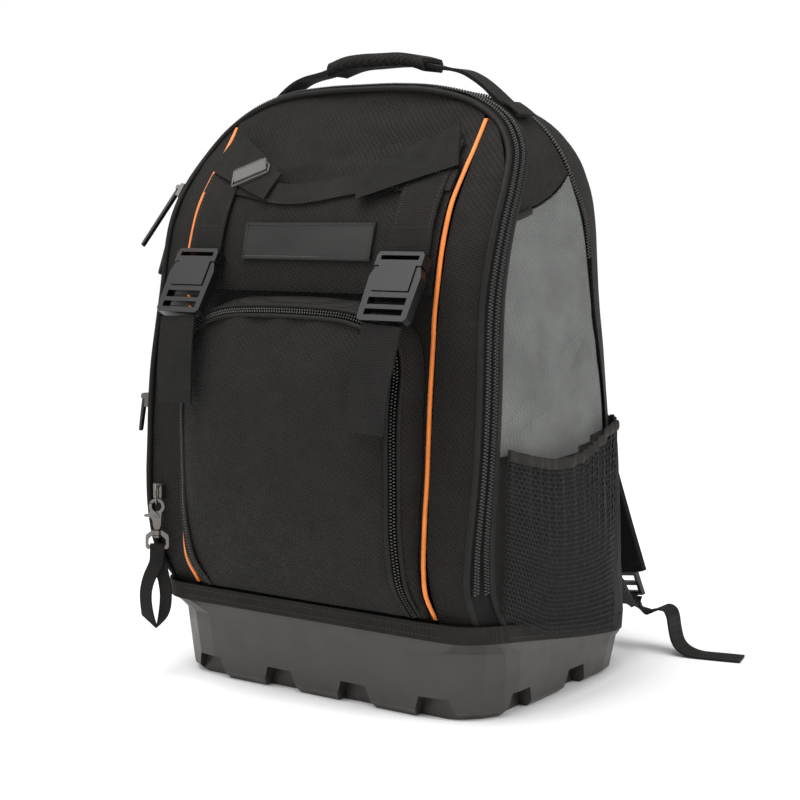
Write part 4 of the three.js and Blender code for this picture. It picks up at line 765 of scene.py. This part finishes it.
def net_mesh(net_spot):
    """Rows of six-sided faces over the net, one for each hole."""
    corners, holes, known = [], [], {}
    for row in range(holes_up):
        for column in range(holes_across):
            hole = []
            for k in range(6):
                angle = math.pi / 6 + k * math.pi / 3
                u = column + 0.5 * (row % 2) + hole_corner * math.cos(angle)
                v = row * row_rise + hole_corner * math.sin(angle)
                key = (round(u, 2), round(v, 2))
                if key not in known:
                    known[key] = len(corners)
                    back = min(max((u + 0.5) / (holes_across + 0.5), 0), 1)
                    up = min(max((v + 0.5) / (holes_up * row_rise + 0.2), 0), 0.97)
                    corners.append(net_spot(back, up, 0.0006))
                hole.append(known[key])
            holes.append(hole)
    mesh = bpy.data.meshes.new("net")
    mesh.from_pydata(corners, [], holes)
    return mesh


for side, sign in (("left", -1), ("right", 1)):
    net_spot = net_surface(side, sign)
    net = show(f"net_{side}", net_mesh(net_spot), net_yarn, [f"net_pocket_{side}"])
    strands = net.modifiers.new("strands", "WIREFRAME")
    strands.thickness = 0.0011
    strands.use_even_offset = False
    rim = np.array([[*net_spot(t, 0.965, 0.0014), 0, 0, 1, sign, 0, 0] for t in np.linspace(0, 1, 60)])
    binding(f"net_edge_{side}", facing_side, (rim, oval(0.0095, 0.0036)), cloth=net_bound)


# Carry handle: flat webbing over the arch, its ends sewn down under two cloth patches, with a padded
# grip in the middle that is wrapped in the shell's cloth.
def grip_dents(p, out):
    """Slight unevenness of the wrap."""
    return 0.0005 * noise.noise(p * 50)


along_handle = laid_along((1, 0, 0), (0, 1, 0))
along_grip = laid_along((1, 0, 0), (0, 1, 0.4))
sewn("handle_web", "handle_webbing", webbing, along_handle, 2, strap_pulls)
grip_wrap = sewn("grip_wrap", "handle_grip", black_cloth, along_grip, 3, grip_dents)
for side in ("left", "right"):
    sewn(f"handle_patch_cloth_{side}", f"handle_patch_{side}", black_cloth, over_arch, 2)


# Shoulder straps: foam pads covered in matt cloth, webbing from the adjuster below each pad to the
# base, and the free tail of that webbing, which lies on the floor.
pad_cloth = woven("pad_cloth", (0.002, 0.0018, 0.0017), (0.0125, 0.0112, 0.0102), twill, 0.85, 0.0004)
along_tail = laid_along((1, 0, 0.6), (0, 1, 0))
for side in ("left", "right"):
    pad = sewn(f"strap_pad_{side}", f"shoulder_pad_{side}", pad_cloth, facing_front)
    sewn(f"lower_web_cloth_{side}", f"lower_web_{side}", webbing, facing_front, 2)
    sewn(f"lower_tail_cloth_{side}", f"lower_tail_{side}", webbing, along_tail, 2)
    dressed(f"adjuster_{side}", satin, 0.0008)


# Back panel: foam lanes covered in the same matt cloth as the pads. It is sewn to the rear gusset,
# and a broad folded binding covers the seam all round.
back = sewn("back_pad", "back_panel", pad_cloth, facing_front)
seam_half, seam_shoulder, seam_rise, seam_depth = 0.1205, 0.400, 0.072, 0.15
right_half = []
for a in np.linspace(0, math.pi / 2, 14):
    rise = seam_rise * math.cos(a) ** (2 / 3)
    right_half.append((seam_half * math.sin(a) ** (2 / 3), seam_depth, seam_shoulder + rise))
right_half += [(seam_half, seam_depth, z) for z in (0.34, 0.26, 0.18, 0.10, 0.072)]
left_half = [(-x, y, z) for x, y, z in reversed(right_half)]
back_skin = skin_of(bpy.data.objects["rear_cloth"], back)
back_rows = on_skin(back_skin, left_half + right_half[1:], 0.006, (0, -1, 0), lift=0.0002)
# Every third row is enough for a smooth line over the lanes.
binding("back_binding", facing_front, (resampled(back_rows[::3], 0.004), oval(0.0130, 0.0036, 10)))


# Base tub and hem: a tub moulded in warm brown grey plastic, and the heathered binding that joins it
# to the cloth, with two rows of stitches all round.
tub = moulded("tub_plastic", (0.0250, 0.0208, 0.0176), 0.40, 1400, 0.00008)
dressed("base_tub", tub, 0.0016, 28)
hem = sewn("hem_cloth", "hem_band", hem_cloth, facing_front, 2)
hem_skin = skin_of(hem)
hem_spots = np.array([v.co[:] for v in nodes["hem_band"].data.vertices])
hem_depths = np.unique(np.round(hem_spots[:, 1], 3))
hem_low = [hem_spots[abs(hem_spots[:, 1] - at) < 0.002, 2].min() for at in hem_depths]
hem_runs = [
    # start, end, direction into the hem
    ((-0.14, -0.142), (0.14, -0.142), (0, 1, 0)),
    ((0.1775, -0.104), (0.1775, 0.078), (-1, 0, 0)),
    ((-0.1775, -0.104), (-0.1775, 0.078), (1, 0, 0)),
    ((-0.12, 0.136), (0.12, 0.136), (0, -1, 0)),
]
hem_lines = []
for row_height in (0.0042, 0.0112):
    for start, end, way in hem_runs:
        line = [Vector(start).lerp(Vector(end), t) for t in np.linspace(0, 1, 16)]
        spots = [(x, y, np.interp(y, hem_depths, hem_low) + row_height) for x, y in line]
        hem_lines.append(on_skin(hem_skin, spots, 0.0034, way))
stitched("hem_stitches", *hem_lines)


# Zip sliders and pulls, and the lanyard: cast hardware in gunmetal, long dark pulls, and a wrist
# loop of webbing on a snap hook that hangs from the wire eye of the side zip's slider.
gunmetal = moulded("gunmetal", (0.16, 0.15, 0.14), 0.34, 600, 0.00005, 0.9)
dark_pull = moulded("dark_pull", (0.007, 0.0065, 0.006), 0.42, 600, 0.00005)
for place in ("upper", "middle", "lower"):
    dressed(f"zip_slider_{place}", gunmetal, 0.0004)
    dressed(f"zip_pull_{place}", dark_pull, 0.0004)
for node in ("lanyard_slider", "hook_body", "hook_gate", "lanyard_ring"):
    dressed(node, gunmetal, 0.0004, 35, 2)
sewn("wrist_webbing", "wrist_loop", webbing, facing_front)
